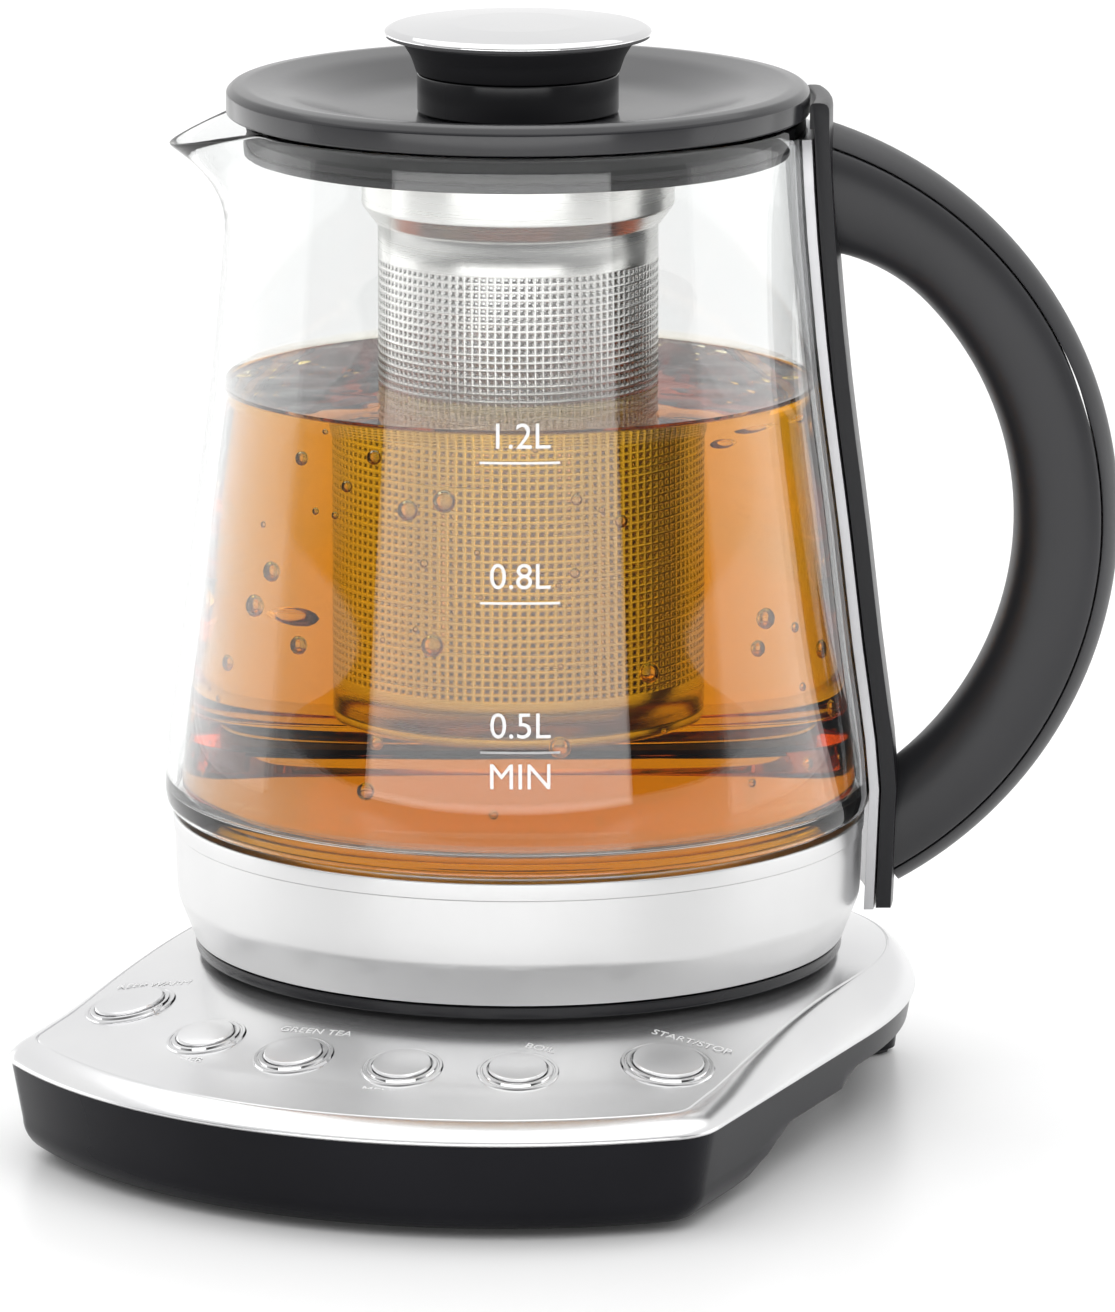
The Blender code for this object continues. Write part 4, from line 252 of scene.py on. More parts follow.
FRONT_ARC_POINTS = 40
FRONT_CORNER_POINTS = 14
BASE_SIDE_POINTS = 12
BACK_POINTS = 40
PLATE_EDGE_ROUND = 0.3
PLATE_LIP = 0.8
SHOULDER_STEPS = 12
PANEL_RINGS = 20
SEAT_STEP = 1.0
HOUSING_SIDE_STEPS = 12
HOUSING_ROUND_STEPS = 10
REAR_LEGS = ((-54.0, -66.0), (54.0, -66.0))
LEG_SEGMENTS = 40
LEG_FOOT_RADIUS = 6.4
LEG_ROOT_RADIUS = 8.0
LEG_SINK = 0.6

# Buttons, with a bezel's rings as distance out from the bore and height
BUTTON_STEPS = 96
BEZEL_GAP = 0.25
BEZEL_RINGS = ((0.0, 0.75), (0.75, 0.75), (0.95, 0.2), (1.2, 0.2), (1.35, 0.42), (1.85, 0.42), (2.1, 0.0),
               (2.1, -0.4))
BEZEL_ROUND = 0.1
BEZEL_SEAT = -0.6
CAP_TOP = 1.5
CAP_DOME = 0.12
CAP_DOME_MIDDLE = 0.03
CAP_EDGE = 0.35
CAP_ROUND = 0.15
CAP_SKIRT = -2.6
BUTTON_RING_RADIUS = 88.5
BUTTON_ANGLES = (-44.0, -23.6, -8.0, 8.0, 23.6, 44.0)
BUTTON_CAP_RADII = (7.5, 6.2, 6.2, 6.2, 6.2, 7.5)

# Printing: marks with the heights of their line and words, and labels with how far out they stand
LETTER_SIZE_FOR_CAPITALS = 1.38
LETTER_CURVE_STEPS = 4
MARK_WIDTH = 16.5
MARK_LINE = 0.5
MARK_CAPITALS = 5.4
MARK_THICKNESS = 0.12
MARK_SINK = 0.03
MARK_CUTS = 15
MARK_TURN = math.radians(-90)
VOLUME_MARKS = (("1.2L", 151.3, 156.5), ("0.8L", 122.7, 127.9), ("0.5L", 92.1, 97.3), ("MIN", 92.1, 86.9))
LABEL_CAPITALS = 2.3
LABEL_THICKNESS = 0.06
LABEL_SINK = 0.01
BUTTON_LABELS = (("KEEP WARM", 12.0), ("TIMER", -11.0), ("GREEN TEA", 11.5), ("MENU", -11.0),
                 ("BOIL", 11.5), ("START/STOP", 12.5))

# Finishes: colours, how far a pattern is drawn out, its scale, and the depth of a bump
EVEN = (1.0, 1.0, 1.0)
ALONG_X = (0.7, 40.0, 40.0)
ROUND_Z = (0.5, 0.5, 45.0)
UPRIGHT = (4.0, 4.0, 0.1)
BLEND = (0.3, 0.7)
LINE_SCALE = 60.0
LINE_DETAIL = 6.0
LINE_DEPTH = 0.02
STEEL_CLOUD_SCALE = 30.0
PLASTIC_CLOUD_SCALE = 22.0
GRAIN_DETAIL = 3.0
GRAIN_DEPTH = 0.03
CRISP = 0.6
COAT_ROUGHNESS = 0.25
GLASS_TINT = (0.900, 0.908, 0.906, 1.0)
GLASS_INDEX = 1.47
GLASS_WAVE_STRETCH = (1.0, 1.0, 0.5)
GLASS_WAVE_SCALE = 14.0
GLASS_WAVE = 0.12
GLASS_WAVE_DEPTH = 0.1
TEA_TINT = (1.0, 0.99, 0.96, 1.0)
TEA_INDEX = 1.33
TEA_COLOUR = (0.955, 0.807, 0.0, 1.0)
TEA_DENSITY = 60.0
BUBBLE_INDEX = 0.75
BUBBLE_TINTS = ((1.0, 0.93, 0.80), (1.0, 0.98, 0.93))
BUBBLE_SHIMMER_SCALE = 300.0
INK_SPECK_SCALE = 900.0
FLOOR_GREYS = ((0.92, 0.92, 0.92), (0.94, 0.94, 0.94))
FLOOR_CLOUD_SCALE = 3.0
FLOOR_ROUGHNESS = 0.32
FLOOR_GLOSS = 0.35


def finish_tree(name):
    """A new material with its node tree and its shader."""
    made = bpy.data.materials.new(name)
    made.use_nodes = True
    tree = made.node_tree
    return made, tree, tree.nodes["Principled BSDF"]


def link(tree, source, target):
    tree.links.new(source, target)


def stretched_noise(tree, stretch, scale, detail=4.0, roughness=0.5):
    """Noise on Object coordinates, drawn out along the axes with a small stretch value."""
    place = tree.nodes.new("ShaderNodeTexCoord")
    mapping = tree.nodes.new("ShaderNodeMapping")
    mapping.inputs["Scale"].default_value = stretch
    pattern = tree.nodes.new("ShaderNodeTexNoise")
    pattern.inputs["Scale"].default_value = scale
    pattern.inputs["Detail"].default_value = detail
    pattern.inputs["Roughness"].default_value = roughness
    link(tree, place.outputs["Object"], mapping.inputs["Vector"])
    link(tree, mapping.outputs["Vector"], pattern.inputs["Vector"])
    return pattern.outputs["Fac"]


def between(tree, amount, low, high):
    """Maps a 0 to 1 pattern to a range."""
    spread = tree.nodes.new("ShaderNodeMapRange")
    spread.inputs["To Min"].default_value = low
    spread.inputs["To Max"].default_value = high
    link(tree, amount, spread.inputs["Value"])
    return spread.outputs["Result"]


def tinted(tree, amount, dark, light):
    """Mixes two colours by a pattern."""
    ramp = tree.nodes.new("ShaderNodeValToRGB")
    for stop, position, colour in zip(ramp.color_ramp.elements, BLEND, (dark, light)):
        stop.position = position
        stop.color = (*colour, 1.0)
    link(tree, amount, ramp.inputs["Fac"])
    return ramp.outputs["Color"]


def bumped(tree, shader, height, strength, depth):
    bump = tree.nodes.new("ShaderNodeBump")
    bump.inputs["Strength"].default_value = strength
    bump.inputs["Distance"].default_value = depth * MM
    link(tree, height, bump.inputs["Height"])
    link(tree, bump.outputs["Normal"], shader.inputs["Normal"])


def brushed(name, dark, light, stretch, rough, bump, metallic=1.0):
    """Metal with fine lines, which a stretch draws out along the direction of brushing."""
    made, tree, shader = finish_tree(name)
    shader.inputs["Metallic"].default_value = metallic
    lines = stretched_noise(tree, stretch, LINE_SCALE, LINE_DETAIL, CRISP)
    cloud = stretched_noise(tree, EVEN, STEEL_CLOUD_SCALE)
    link(tree, tinted(tree, cloud, dark, light), shader.inputs["Base Color"])
    link(tree, between(tree, lines, *rough), shader.inputs["Roughness"])
    bumped(tree, shader, lines, bump, LINE_DEPTH)
    return made


def moulded(name, dark, light, rough, grain, bump, coat=0.0, gloss=0.5, index=1.5):
    """Plastic with the fine grain of its mould and slight cloudiness."""
    made, tree, shader = finish_tree(name)
    shader.inputs["Specular IOR Level"].default_value = gloss
    shader.inputs["IOR"].default_value = index
    cloud = stretched_noise(tree, EVEN, PLASTIC_CLOUD_SCALE, GRAIN_DETAIL)
    fine = stretched_noise(tree, EVEN, grain, GRAIN_DETAIL, CRISP)
    link(tree, tinted(tree, cloud, dark, light), shader.inputs["Base Color"])
    link(tree, between(tree, fine, *rough), shader.inputs["Roughness"])
    shader.inputs["Coat Weight"].default_value = coat
    shader.inputs["Coat Roughness"].default_value = COAT_ROUGHNESS
    bumped(tree, shader, fine, bump, GRAIN_DEPTH)
    return made


def see_through(name, index):
    """The start of a smooth finish that light passes through."""
    made, tree, shader = finish_tree(name)
    shader.inputs["Transmission Weight"].default_value = 1.0
    shader.inputs["IOR"].default_value = index
    shader.inputs["Roughness"].default_value = 0.0
    return made, tree, shader


def clear_glass():
    """Borosilicate with the faintest waviness left by drawing."""
    made, tree, shader = see_through("carafe glass", GLASS_INDEX)
    shader.inputs["Base Color"].default_value = GLASS_TINT
    wave = stretched_noise(tree, GLASS_WAVE_STRETCH, GLASS_WAVE_SCALE, 1.0)
    bumped(tree, shader, wave, GLASS_WAVE, GLASS_WAVE_DEPTH)
    return made


def brewed_tea():
    """Amber liquid: clear at its surface, with the colour in its depth."""
    made, tree, shader = see_through("brewed tea", TEA_INDEX)
    shader.inputs["Base Color"].default_value = TEA_TINT
    depth = tree.nodes.new("ShaderNodeVolumeAbsorption")
    depth.inputs["Color"].default_value = TEA_COLOUR
    depth.inputs["Density"].default_value = TEA_DENSITY
    link(tree, depth.outputs["Volume"], tree.nodes["Material Output"].inputs["Volume"])
    return made


def air_bubble():
    made, tree, shader = see_through("air bubble", BUBBLE_INDEX)
    shimmer = stretched_noise(tree, EVEN, BUBBLE_SHIMMER_SCALE, 1.0)
    link(tree, tinted(tree, shimmer, *BUBBLE_TINTS), shader.inputs["Base Color"])
    return made


def printed(name, dark, light, rough):
    """Ink baked on the glass or filled into the metal."""
    made, tree, shader = finish_tree(name)
    speck = stretched_noise(tree, EVEN, INK_SPECK_SCALE, 2.0)
    link(tree, tinted(tree, speck, dark, light), shader.inputs["Base Color"])
    link(tree, between(tree, speck, *rough), shader.inputs["Roughness"])
    return made


def worktop():
    made, tree, shader = finish_tree("worktop")
    cloud = stretched_noise(tree, EVEN, FLOOR_CLOUD_SCALE)
    link(tree, tinted(tree, cloud, *FLOOR_GREYS), shader.inputs["Base Color"])
    shader.inputs["Roughness"].default_value = FLOOR_ROUGHNESS
    shader.inputs["Specular IOR Level"].default_value = FLOOR_GLOSS
    return made


PANEL_STEEL = brushed("brushed panel steel", (0.72, 0.72, 0.73), (0.78, 0.78, 0.78), ALONG_X,
                      (0.19, 0.26), 0.05, metallic=0.9)
BAND_STEEL = brushed("brushed band steel", (0.67, 0.67, 0.67), (0.71, 0.71, 0.71), ROUND_Z,
                     (0.27, 0.34), 0.03)
BUTTON_STEEL = brushed("spun button steel", (0.70, 0.70, 0.71), (0.77, 0.77, 0.77), ALONG_X,
                       (0.20, 0.30), 0.08)
INFUSER_STEEL = brushed("infuser steel", (0.66, 0.65, 0.63), (0.74, 0.73, 0.71), ROUND_Z, (0.20, 0.32), 0.08)
MIRROR_STEEL = brushed("mirror steel", (0.67, 0.67, 0.68), (0.71, 0.71, 0.71), EVEN, (0.04, 0.08), 0.01)
TRIM_METAL = brushed("satin trim", (0.42, 0.42, 0.43), (0.49, 0.49, 0.50), UPRIGHT, (0.24, 0.34), 0.04)
SCREW_STEEL = brushed("screw steel", (0.50, 0.50, 0.50), (0.62, 0.62, 0.62), EVEN, (0.25, 0.45), 0.10)
BRASS = brushed("contact brass", (0.62, 0.43, 0.17), (0.75, 0.55, 0.26), ROUND_Z, (0.22, 0.38), 0.08)
CHARCOAL = moulded("charcoal plastic", (0.017, 0.017, 0.019), (0.022, 0.022, 0.025), (0.36, 0.44),
                   900.0, 0.06)
LID_PLASTIC = moulded("lid plastic", (0.015, 0.015, 0.017), (0.020, 0.020, 0.023), (0.16, 0.22), 900.0, 0.02,
                      gloss=0.52)
HOUSING_PLASTIC = moulded("housing plastic", (0.008, 0.008, 0.010), (0.012, 0.012, 0.015), (0.20, 0.27),
                          700.0, 0.04, gloss=0.25, index=1.28)
BLACK = moulded("black plastic", (0.007, 0.007, 0.009), (0.010, 0.010, 0.012), (0.28, 0.38), 800.0, 0.06,
                gloss=0.3)
GLOSS_BLACK = moulded("glossy black plastic", (0.007, 0.007, 0.009), (0.010, 0.010, 0.012), (0.14, 0.22),
                      300.0, 0.04, gloss=0.3)
SILICONE = moulded("silicone", (0.016, 0.016, 0.017), (0.026, 0.026, 0.027), (0.55, 0.70), 500.0, 0.20)
BOARD_GREEN = moulded("board lacquer", (0.012, 0.11, 0.05), (0.02, 0.15, 0.07), (0.22, 0.40), 260.0, 0.10,
                      coat=0.4)
GLASS = clear_glass()
TEA = brewed_tea()
BUBBLE = air_bubble()
INK = printed("white ink", (0.84, 0.84, 0.84), (0.92, 0.92, 0.92), (0.35, 0.50))
LABEL_INK = printed("pale label ink", (0.78, 0.78, 0.78), (0.86, 0.86, 0.86), (0.35, 0.50))


def mix(low, high, share):
    return low + (high - low) * share


def even(count, start, end):
    """Values spread evenly from start to end, both among them."""
    return [mix(start, end, step / (count - 1)) for step in range(count)]


def filleted(profile, closed):
    """A profile's (radius, height) points, with each corner that has a fillet turned to an arc."""
    points = []
    count = len(profile)
    for index, (radius, height, fillet) in enumerate(profile):
        here = Vector((radius, height))
        ends = not closed and index in (0, count - 1)
        if ends or not fillet:
            points.append(here)
            continue
        before = Vector(profile[index - 1][:2]) - here
        after = Vector(profile[(index + 1) % count][:2]) - here
        half = before.angle(after) / 2
        setback = min(fillet / math.tan(half), before.length * FILLET_REACH, after.length * FILLET_REACH)
        start = here + before.normalized() * setback
        end = here + after.normalized() * setback
        for share in even(FILLET_STEPS + 1, 0.0, 1.0):
            points.append(start.lerp(here, share).lerp(here.lerp(end, share), share))
    return points


def wire(shape, points, closed):
    """A row of vertices in the XZ plane joined by edges."""
    row = [shape.verts.new((point[0], 0.0, point[1])) for point in points]
    pairs = list(zip(row, row[1:]))
    if closed:
        pairs.append((row[-1], row[0]))
    return row, [shape.edges.new(pair) for pair in pairs]


def lathe(points, closed=True, steps=ROUND_STEPS):
    """A full turn of a profile about Z, in millimetres."""
    shape = bmesh.new()
    row, edges = wire(shape, points, closed)
    bmesh.ops.spin(shape, geom=row + edges, cent=(0.0, 0.0, 0.0), axis=(0.0, 0.0, 1.0), dvec=(0.0, 0.0, 0.0),
                   angle=math.tau, steps=steps, use_merge=True)
    bmesh.ops.remove_doubles(shape, verts=shape.verts, dist=WELD)
    bmesh.ops.recalc_face_normals(shape, faces=shape.faces)
    return shape


def sector(points, middle, half_angle, steps):
    """Part of a turn of a closed profile about Z, with both its ends closed."""
    shape = bmesh.new()
    row, edges = wire(shape, points, True)
    first = shape.faces.new(row)
    bmesh.ops.rotate(shape, verts=shape.verts, cent=(0.0, 0.0, 0.0),
                     matrix=Matrix.Rotation(middle - half_angle, 3, "Z"))
    bmesh.ops.spin(shape, geom=[first, *row, *edges], cent=(0.0, 0.0, 0.0), axis=(0.0, 0.0, 1.0),
                   dvec=(0.0, 0.0, 0.0), angle=half_angle * 2, steps=steps, use_merge=False)
    bmesh.ops.remove_doubles(shape, verts=shape.verts, dist=WELD)
    bmesh.ops.recalc_face_normals(shape, faces=shape.faces)
    return shape


def absorb(shape, other):
    """Adds another bmesh's geometry to a shape."""
    mesh = bpy.data.meshes.new("joined")
    other.to_mesh(mesh)
    other.free()
    shape.from_mesh(mesh)
    bpy.data.meshes.remove(mesh)


def piece(name, shape, finish, body, place=ON_KETTLE, stands_for=(), smooth=True):
    """Puts a finished shape in the scene, riding on its body, with its place in its mesh."""
    mesh = bpy.data.meshes.new(name)
    bmesh.ops.transform(shape, matrix=place @ Matrix.Scale(MM, 4), verts=shape.verts)
    shape.to_mesh(mesh)
    shape.free()
    if smooth:
        mesh.shade_smooth()
        mesh.set_sharp_from_angle(angle=SHARP_ANGLE)
    mesh.materials.append(finish)
    made = bpy.data.objects.new(name, mesh)
    bpy.context.scene.collection.objects.link(made)
    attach(made, body)
    if stands_for:
        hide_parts(*stands_for)
    return made


def side_radius(height):
    """The glass's outer radius at a height, on a smooth curve through its measured side."""
    side = GLASS_SIDE
    for index in range(len(side) - 1):
        (top, top_radius), (low, low_radius) = side[index], side[index + 1]
        if height >= low or index == len(side) - 2:
            share = (top - height) / (top - low)
            before = side[max(index - 1, 0)]
            after = side[min(index + 2, len(side) - 1)]
            run = top - low
            lead = (low_radius - before[1]) / max(before[0] - low, run) * run
            trail = (after[1] - top_radius) / max(top - after[0], run) * run
            square, cube = share ** 2, share ** 3
            return ((2 * cube - 3 * square + 1) * top_radius + (cube - 2 * square + share) * lead
                    + (3 * square - 2 * cube) * low_radius + (cube - square) * trail)
    return side[-1][1]


def glass_section():
    """The closed section of the glass: up its outside, over the rounded rim and down its inside."""
    rim = GLASS_SIDE[0][0]
    round_edge = GLASS_WALL / 2
    heights = even(GLASS_RINGS, GLASS_SIDE[-1][0], rim - round_edge)
    outer = [Vector((side_radius(height), height)) for height in heights]
    inner = [Vector((side_radius(height) - GLASS_WALL, height)) for height in reversed(heights)]
    middle = side_radius(rim) - round_edge
    lip = [Vector((middle + round_edge * math.cos(turn), rim - round_edge + round_edge * math.sin(turn)))
           for turn in even(RIM_STEPS, 0.0, math.pi)[1:-1]]
    return filleted(GLASS_FOOT_OUTSIDE, False) + outer + lip + inner + filleted(GLASS_FOOT_INSIDE, False)


def pull_spout(shape):
    """Draws the rim out and down into a spout on the side away from the handle."""
    start = GLASS_SIDE[0][0] - SPOUT_HEIGHT
    for corner in shape.verts:
        radius = math.hypot(corner.co.x, corner.co.y)
        side = math.atan2(corner.co.y, -corner.co.x)
        rise = (corner.co.z - start) / SPOUT_HEIGHT
        if abs(side) >= SPOUT_HALF_ANGLE or rise <= 0.0:
            continue
        crest = math.cos(math.pi / 2 * side / SPOUT_HALF_ANGLE) ** 2
        out = SPOUT_REACH * crest * rise ** SPOUT_CURVE
        corner.co.z -= SPOUT_DROP * crest * rise
        corner.co.x *= (radius + out) / radius
        corner.co.y *= (radius + out * (1 - crest)) / radius


def make_glass():
    shape = lathe(glass_section(), steps=FINE_STEPS)
    pull_spout(shape)
    piece("blown_glass", shape, GLASS, "carafe", stands_for=["glass_carafe"])


def make_tea():
    """The tea, a little in from the glass, as its clear wall shows beside it in the photograph."""
    inside = GLASS_WALL + TEA_GAP
    points = filleted(TEA_FOOT, False)
    for height in even(GLASS_RINGS, TEA_SIDE_START, TEA_TOP + TEA_MENISCUS):
        points.append(Vector((side_radius(height) - inside, height)))
    points[-1].x += TEA_LIP
    edge = points[-1].x
    for inward, rise in TEA_EDGE:
        points.append(Vector((edge - inward, TEA_TOP + TEA_MENISCUS * rise)))
    for radius in even(TEA_RIPPLE_RINGS, edge - TEA_EDGE[-1][0], 0.0)[1:]:
        points.append(Vector((radius, TEA_TOP)))
    shape = lathe(points, closed=False, steps=FINE_STEPS)
    for corner in shape.verts:
        reach = math.hypot(corner.co.x, corner.co.y)
        if corner.co.z > TEA_TOP - WELD and reach < edge - TEA_EDGE[0][0]:
            calm = min((edge - reach) / TEA_CALM_EDGE, 1.0)
            wave = noise.noise(corner.co * TEA_RIPPLE_SCALE)
            wave += noise.noise(corner.co * TEA_FINE_RIPPLE_SCALE) / 2
            corner.co.z += TEA_RIPPLE * wave * calm
    piece("brewed_tea", shape, TEA, "carafe")


def make_bubbles():
    """Small bubbles that cling to the inside of the glass."""
    shape = bmesh.new()
    chance = random.Random(BUBBLE_SEED)
    for _ in range(BUBBLE_COUNT):
        size = mix(*BUBBLE_SIZES, chance.random() ** 2)
        height = chance.uniform(*BUBBLE_HEIGHTS)
        reach = side_radius(height) - GLASS_WALL - TEA_GAP - size - chance.random() ** 2 * BUBBLE_DEPTH
        turn = chance.uniform(-math.pi, math.pi)
        spot = Vector((reach * math.cos(turn), reach * math.sin(turn), height))
        bmesh.ops.create_icosphere(shape, subdivisions=BUBBLE_DETAIL, radius=size,
                                   matrix=Matrix.Translation(spot))
    piece("tea_bubbles", shape, BUBBLE, "carafe")


def make_round_pieces():
    """Everything that is a full turn about the kettle's axis."""
    turned = (
        ("spun_band", BAND_PROFILE, BAND_STEEL, "carafe", "brushed_steel", "steel_band"),
        ("glossy_foot", FOOT_PROFILE, GLOSS_BLACK, "carafe", "black_plastic", "underbody_cover"),
        ("lid_shell", LID_PROFILE, LID_PLASTIC, "lid", "charcoal_plastic", "lid_cover"),
        ("lid_plug_shell", PLUG_PROFILE, BLACK, "lid", "black_plastic", "lid_plug"),
        ("lid_lip_seal", SEAL_PROFILE, SILICONE, "lid", "silicone", "lid_seal"),
        ("knob_stem", NECK_PROFILE, LID_PLASTIC, "lid", "black_plastic", "knob_neck"),
        ("knob_flare", COLLAR_PROFILE, CHARCOAL, "lid", "charcoal_plastic", "knob_collar"),
    )
    for name, profile, finish, body, slot, node in turned:
        shape = lathe(filleted(profile, True), steps=FINE_STEPS)
        piece(name, shape, finish, body, stands_for=[node])
    disc = lathe(filleted(DISC_PROFILE, False), closed=False, steps=FINE_STEPS)
    piece("knob_mirror", disc, MIRROR_STEEL, "lid", stands_for=["knob_disc"])


def make_heater_face():
    """The polished floor of the carafe, just over the pressed plate below it."""
    shape = lathe(filleted(HEATER_PROFILE, False), closed=False)
    piece("heater_face", shape, MIRROR_STEEL, "carafe", stands_for=["heater_plate"])


def make_pierced_tube():
    """The infuser's sheet, with its rows of small square holes, rolled and joined."""
    shape = bmesh.new()
    rows = HOLE_ROWS + 2
    bmesh.ops.create_grid(shape, x_segments=HOLE_COLUMNS, y_segments=rows, size=0.5)
    levels = [TUBE_BOTTOM] + even(HOLE_ROWS + 1, HOLES_BOTTOM, HOLES_TOP) + [TUBE_TOP]
    for corner in shape.verts:
        corner.co.y = levels[round((corner.co.y + 0.5) * rows)]
    pierced = [face for face in shape.faces if HOLES_BOTTOM < face.calc_center_median().y < HOLES_TOP]
    pitch = (HOLES_TOP - HOLES_BOTTOM) / HOLE_ROWS
    around = math.tau * TUBE_RADIUS
    for corner in shape.verts:
        corner.co.x *= around
    bmesh.ops.inset_individual(shape, faces=pierced, thickness=(pitch - HOLE_SIDE) / 2, use_even_offset=True)
    bmesh.ops.delete(shape, geom=pierced, context="FACES")
    for corner in shape.verts:
        turn = corner.co.x / TUBE_RADIUS
        corner.co = Vector((-TUBE_RADIUS * math.cos(turn), -TUBE_RADIUS * math.sin(turn), corner.co.y))
    bmesh.ops.remove_doubles(shape, verts=shape.verts, dist=SEAM_WELD)
    bmesh.ops.recalc_face_normals(shape, faces=shape.faces)
    tube = piece("pierced_tube", shape, INFUSER_STEEL, "infuser",
                 stands_for=["infuser_tube"])
    sheet = tube.modifiers.new("sheet", "SOLIDIFY")
    sheet.thickness = INFUSER_WALL * MM
    sheet.offset = -1.0


def make_infuser():
    make_pierced_tube()
    cup = lathe(filleted(CUP_PROFILE, False), closed=False)
    piece("infuser_cup", cup, INFUSER_STEEL, "infuser", stands_for=["infuser_bottom"])
    ring = lathe(filleted(COLLAR_RING_PROFILE, True))
    for number in range(LOCK_COUNT):
        middle = math.tau * number / LOCK_COUNT
        absorb(ring, sector(filleted(LOCK_RING_PROFILE, True), middle, LOCK_HALF_TURN, LOCK_STEPS))
    piece("infuser_rim", ring, INFUSER_STEEL, "infuser", stands_for=["infuser_collar"])
    mount = lathe(filleted(MOUNT_PROFILE, True))
    for number in range(LOCK_COUNT):
        middle = math.tau * number / LOCK_COUNT
        absorb(mount, sector(filleted(LUG_PROFILE, True), middle, LUG_HALF_ANGLE, LUG_STEPS))
    piece("infuser_holder", mount, BLACK, "lid", stands_for=["infuser_mount"])


def bevelled(shape, width):
    """Rounds every sharp edge."""
    sharp = [edge for edge in shape.edges if len(edge.link_faces) == 2
             and edge.calc_face_angle(0.0) > STRIP_SHARP_ANGLE]
    bmesh.ops.bevel(shape, geom=sharp, offset=width, offset_type="OFFSET", affect="EDGES",
                    segments=ROUND_SEGMENTS, profile=0.5, material=-1, clamp_overlap=True)


def trimmed(shape, point, normal, low=-math.inf, high=math.inf):
    """Cuts away what lies beyond a plane, between two heights, and closes the cut."""
    geometry = [corner for corner in shape.verts if low <= corner.co.z <= high]
    corners = set(geometry)
    geometry += [edge for edge in shape.edges if corners.issuperset(edge.verts)]
    geometry += [face for face in shape.faces if corners.issuperset(face.verts)]
    made = bmesh.ops.bisect_plane(shape, geom=geometry, plane_co=point, plane_no=normal, clear_outer=True)
    rim = [part for part in made["geom_cut"] if isinstance(part, bmesh.types.BMEdge)]
    bmesh.ops.holes_fill(shape, edges=rim)


def strip_section(gap, thickness, top):
    """The section of a strip that follows the glass and ends low on the steel band."""
    heights = even(STRIP_STEPS, top, GLASS_SIDE[-1][0])
    inner = [Vector((side_radius(height) + gap, height)) for height in heights]
    inner.append(Vector((inner[-1].x - STRIP_BOTTOM_INSET, STRIP_BOTTOM)))
    outer = [Vector((point.x + thickness, point.y)) for point in inner]
    return inner, outer


def strip(name, points, half_width, finish, node):
    """Part of a turn about the kettle's axis, cut to an even width."""
    shape = sector(points, 0.0, STRIP_HALF_TURN, STRIP_TURN_STEPS)
    for side in (-1.0, 1.0):
        trimmed(shape, (0.0, side * half_width, 0.0), (0.0, side, 0.0))
    bmesh.ops.recalc_face_normals(shape, faces=shape.faces)
    bevelled(shape, STRIP_ROUND)
    piece(name, shape, finish, "carafe", stands_for=[node])


def make_strips():
    inner, outer = strip_section(TRIM_GAP, TRIM_THICKNESS, TRIM_TOP)
    strip("trim_strip", outer + inner[::-1], TRIM_HALF_WIDTH, TRIM_METAL, "bracket_trim")
    inner, outer = strip_section(BRACKET_GAP, BRACKET_THICKNESS, BRACKET_CURL_Z)
    reach = outer[0].x
    low_round, inner_round, outer_round = BRACKET_CURL_ROUNDS
    curl = [(BRACKET_CURL_RADIUS, BRACKET_CURL_Z, low_round), (BRACKET_CURL_RADIUS, BRACKET_TOP, inner_round),
            (reach, BRACKET_TOP, outer_round), (reach, BRACKET_CURL_Z, 0.0)]
    points = filleted(curl, False) + outer[1:] + inner[::-1]
    strip("bracket_strip", points, BRACKET_HALF_WIDTH, BLACK, "handle_bracket")


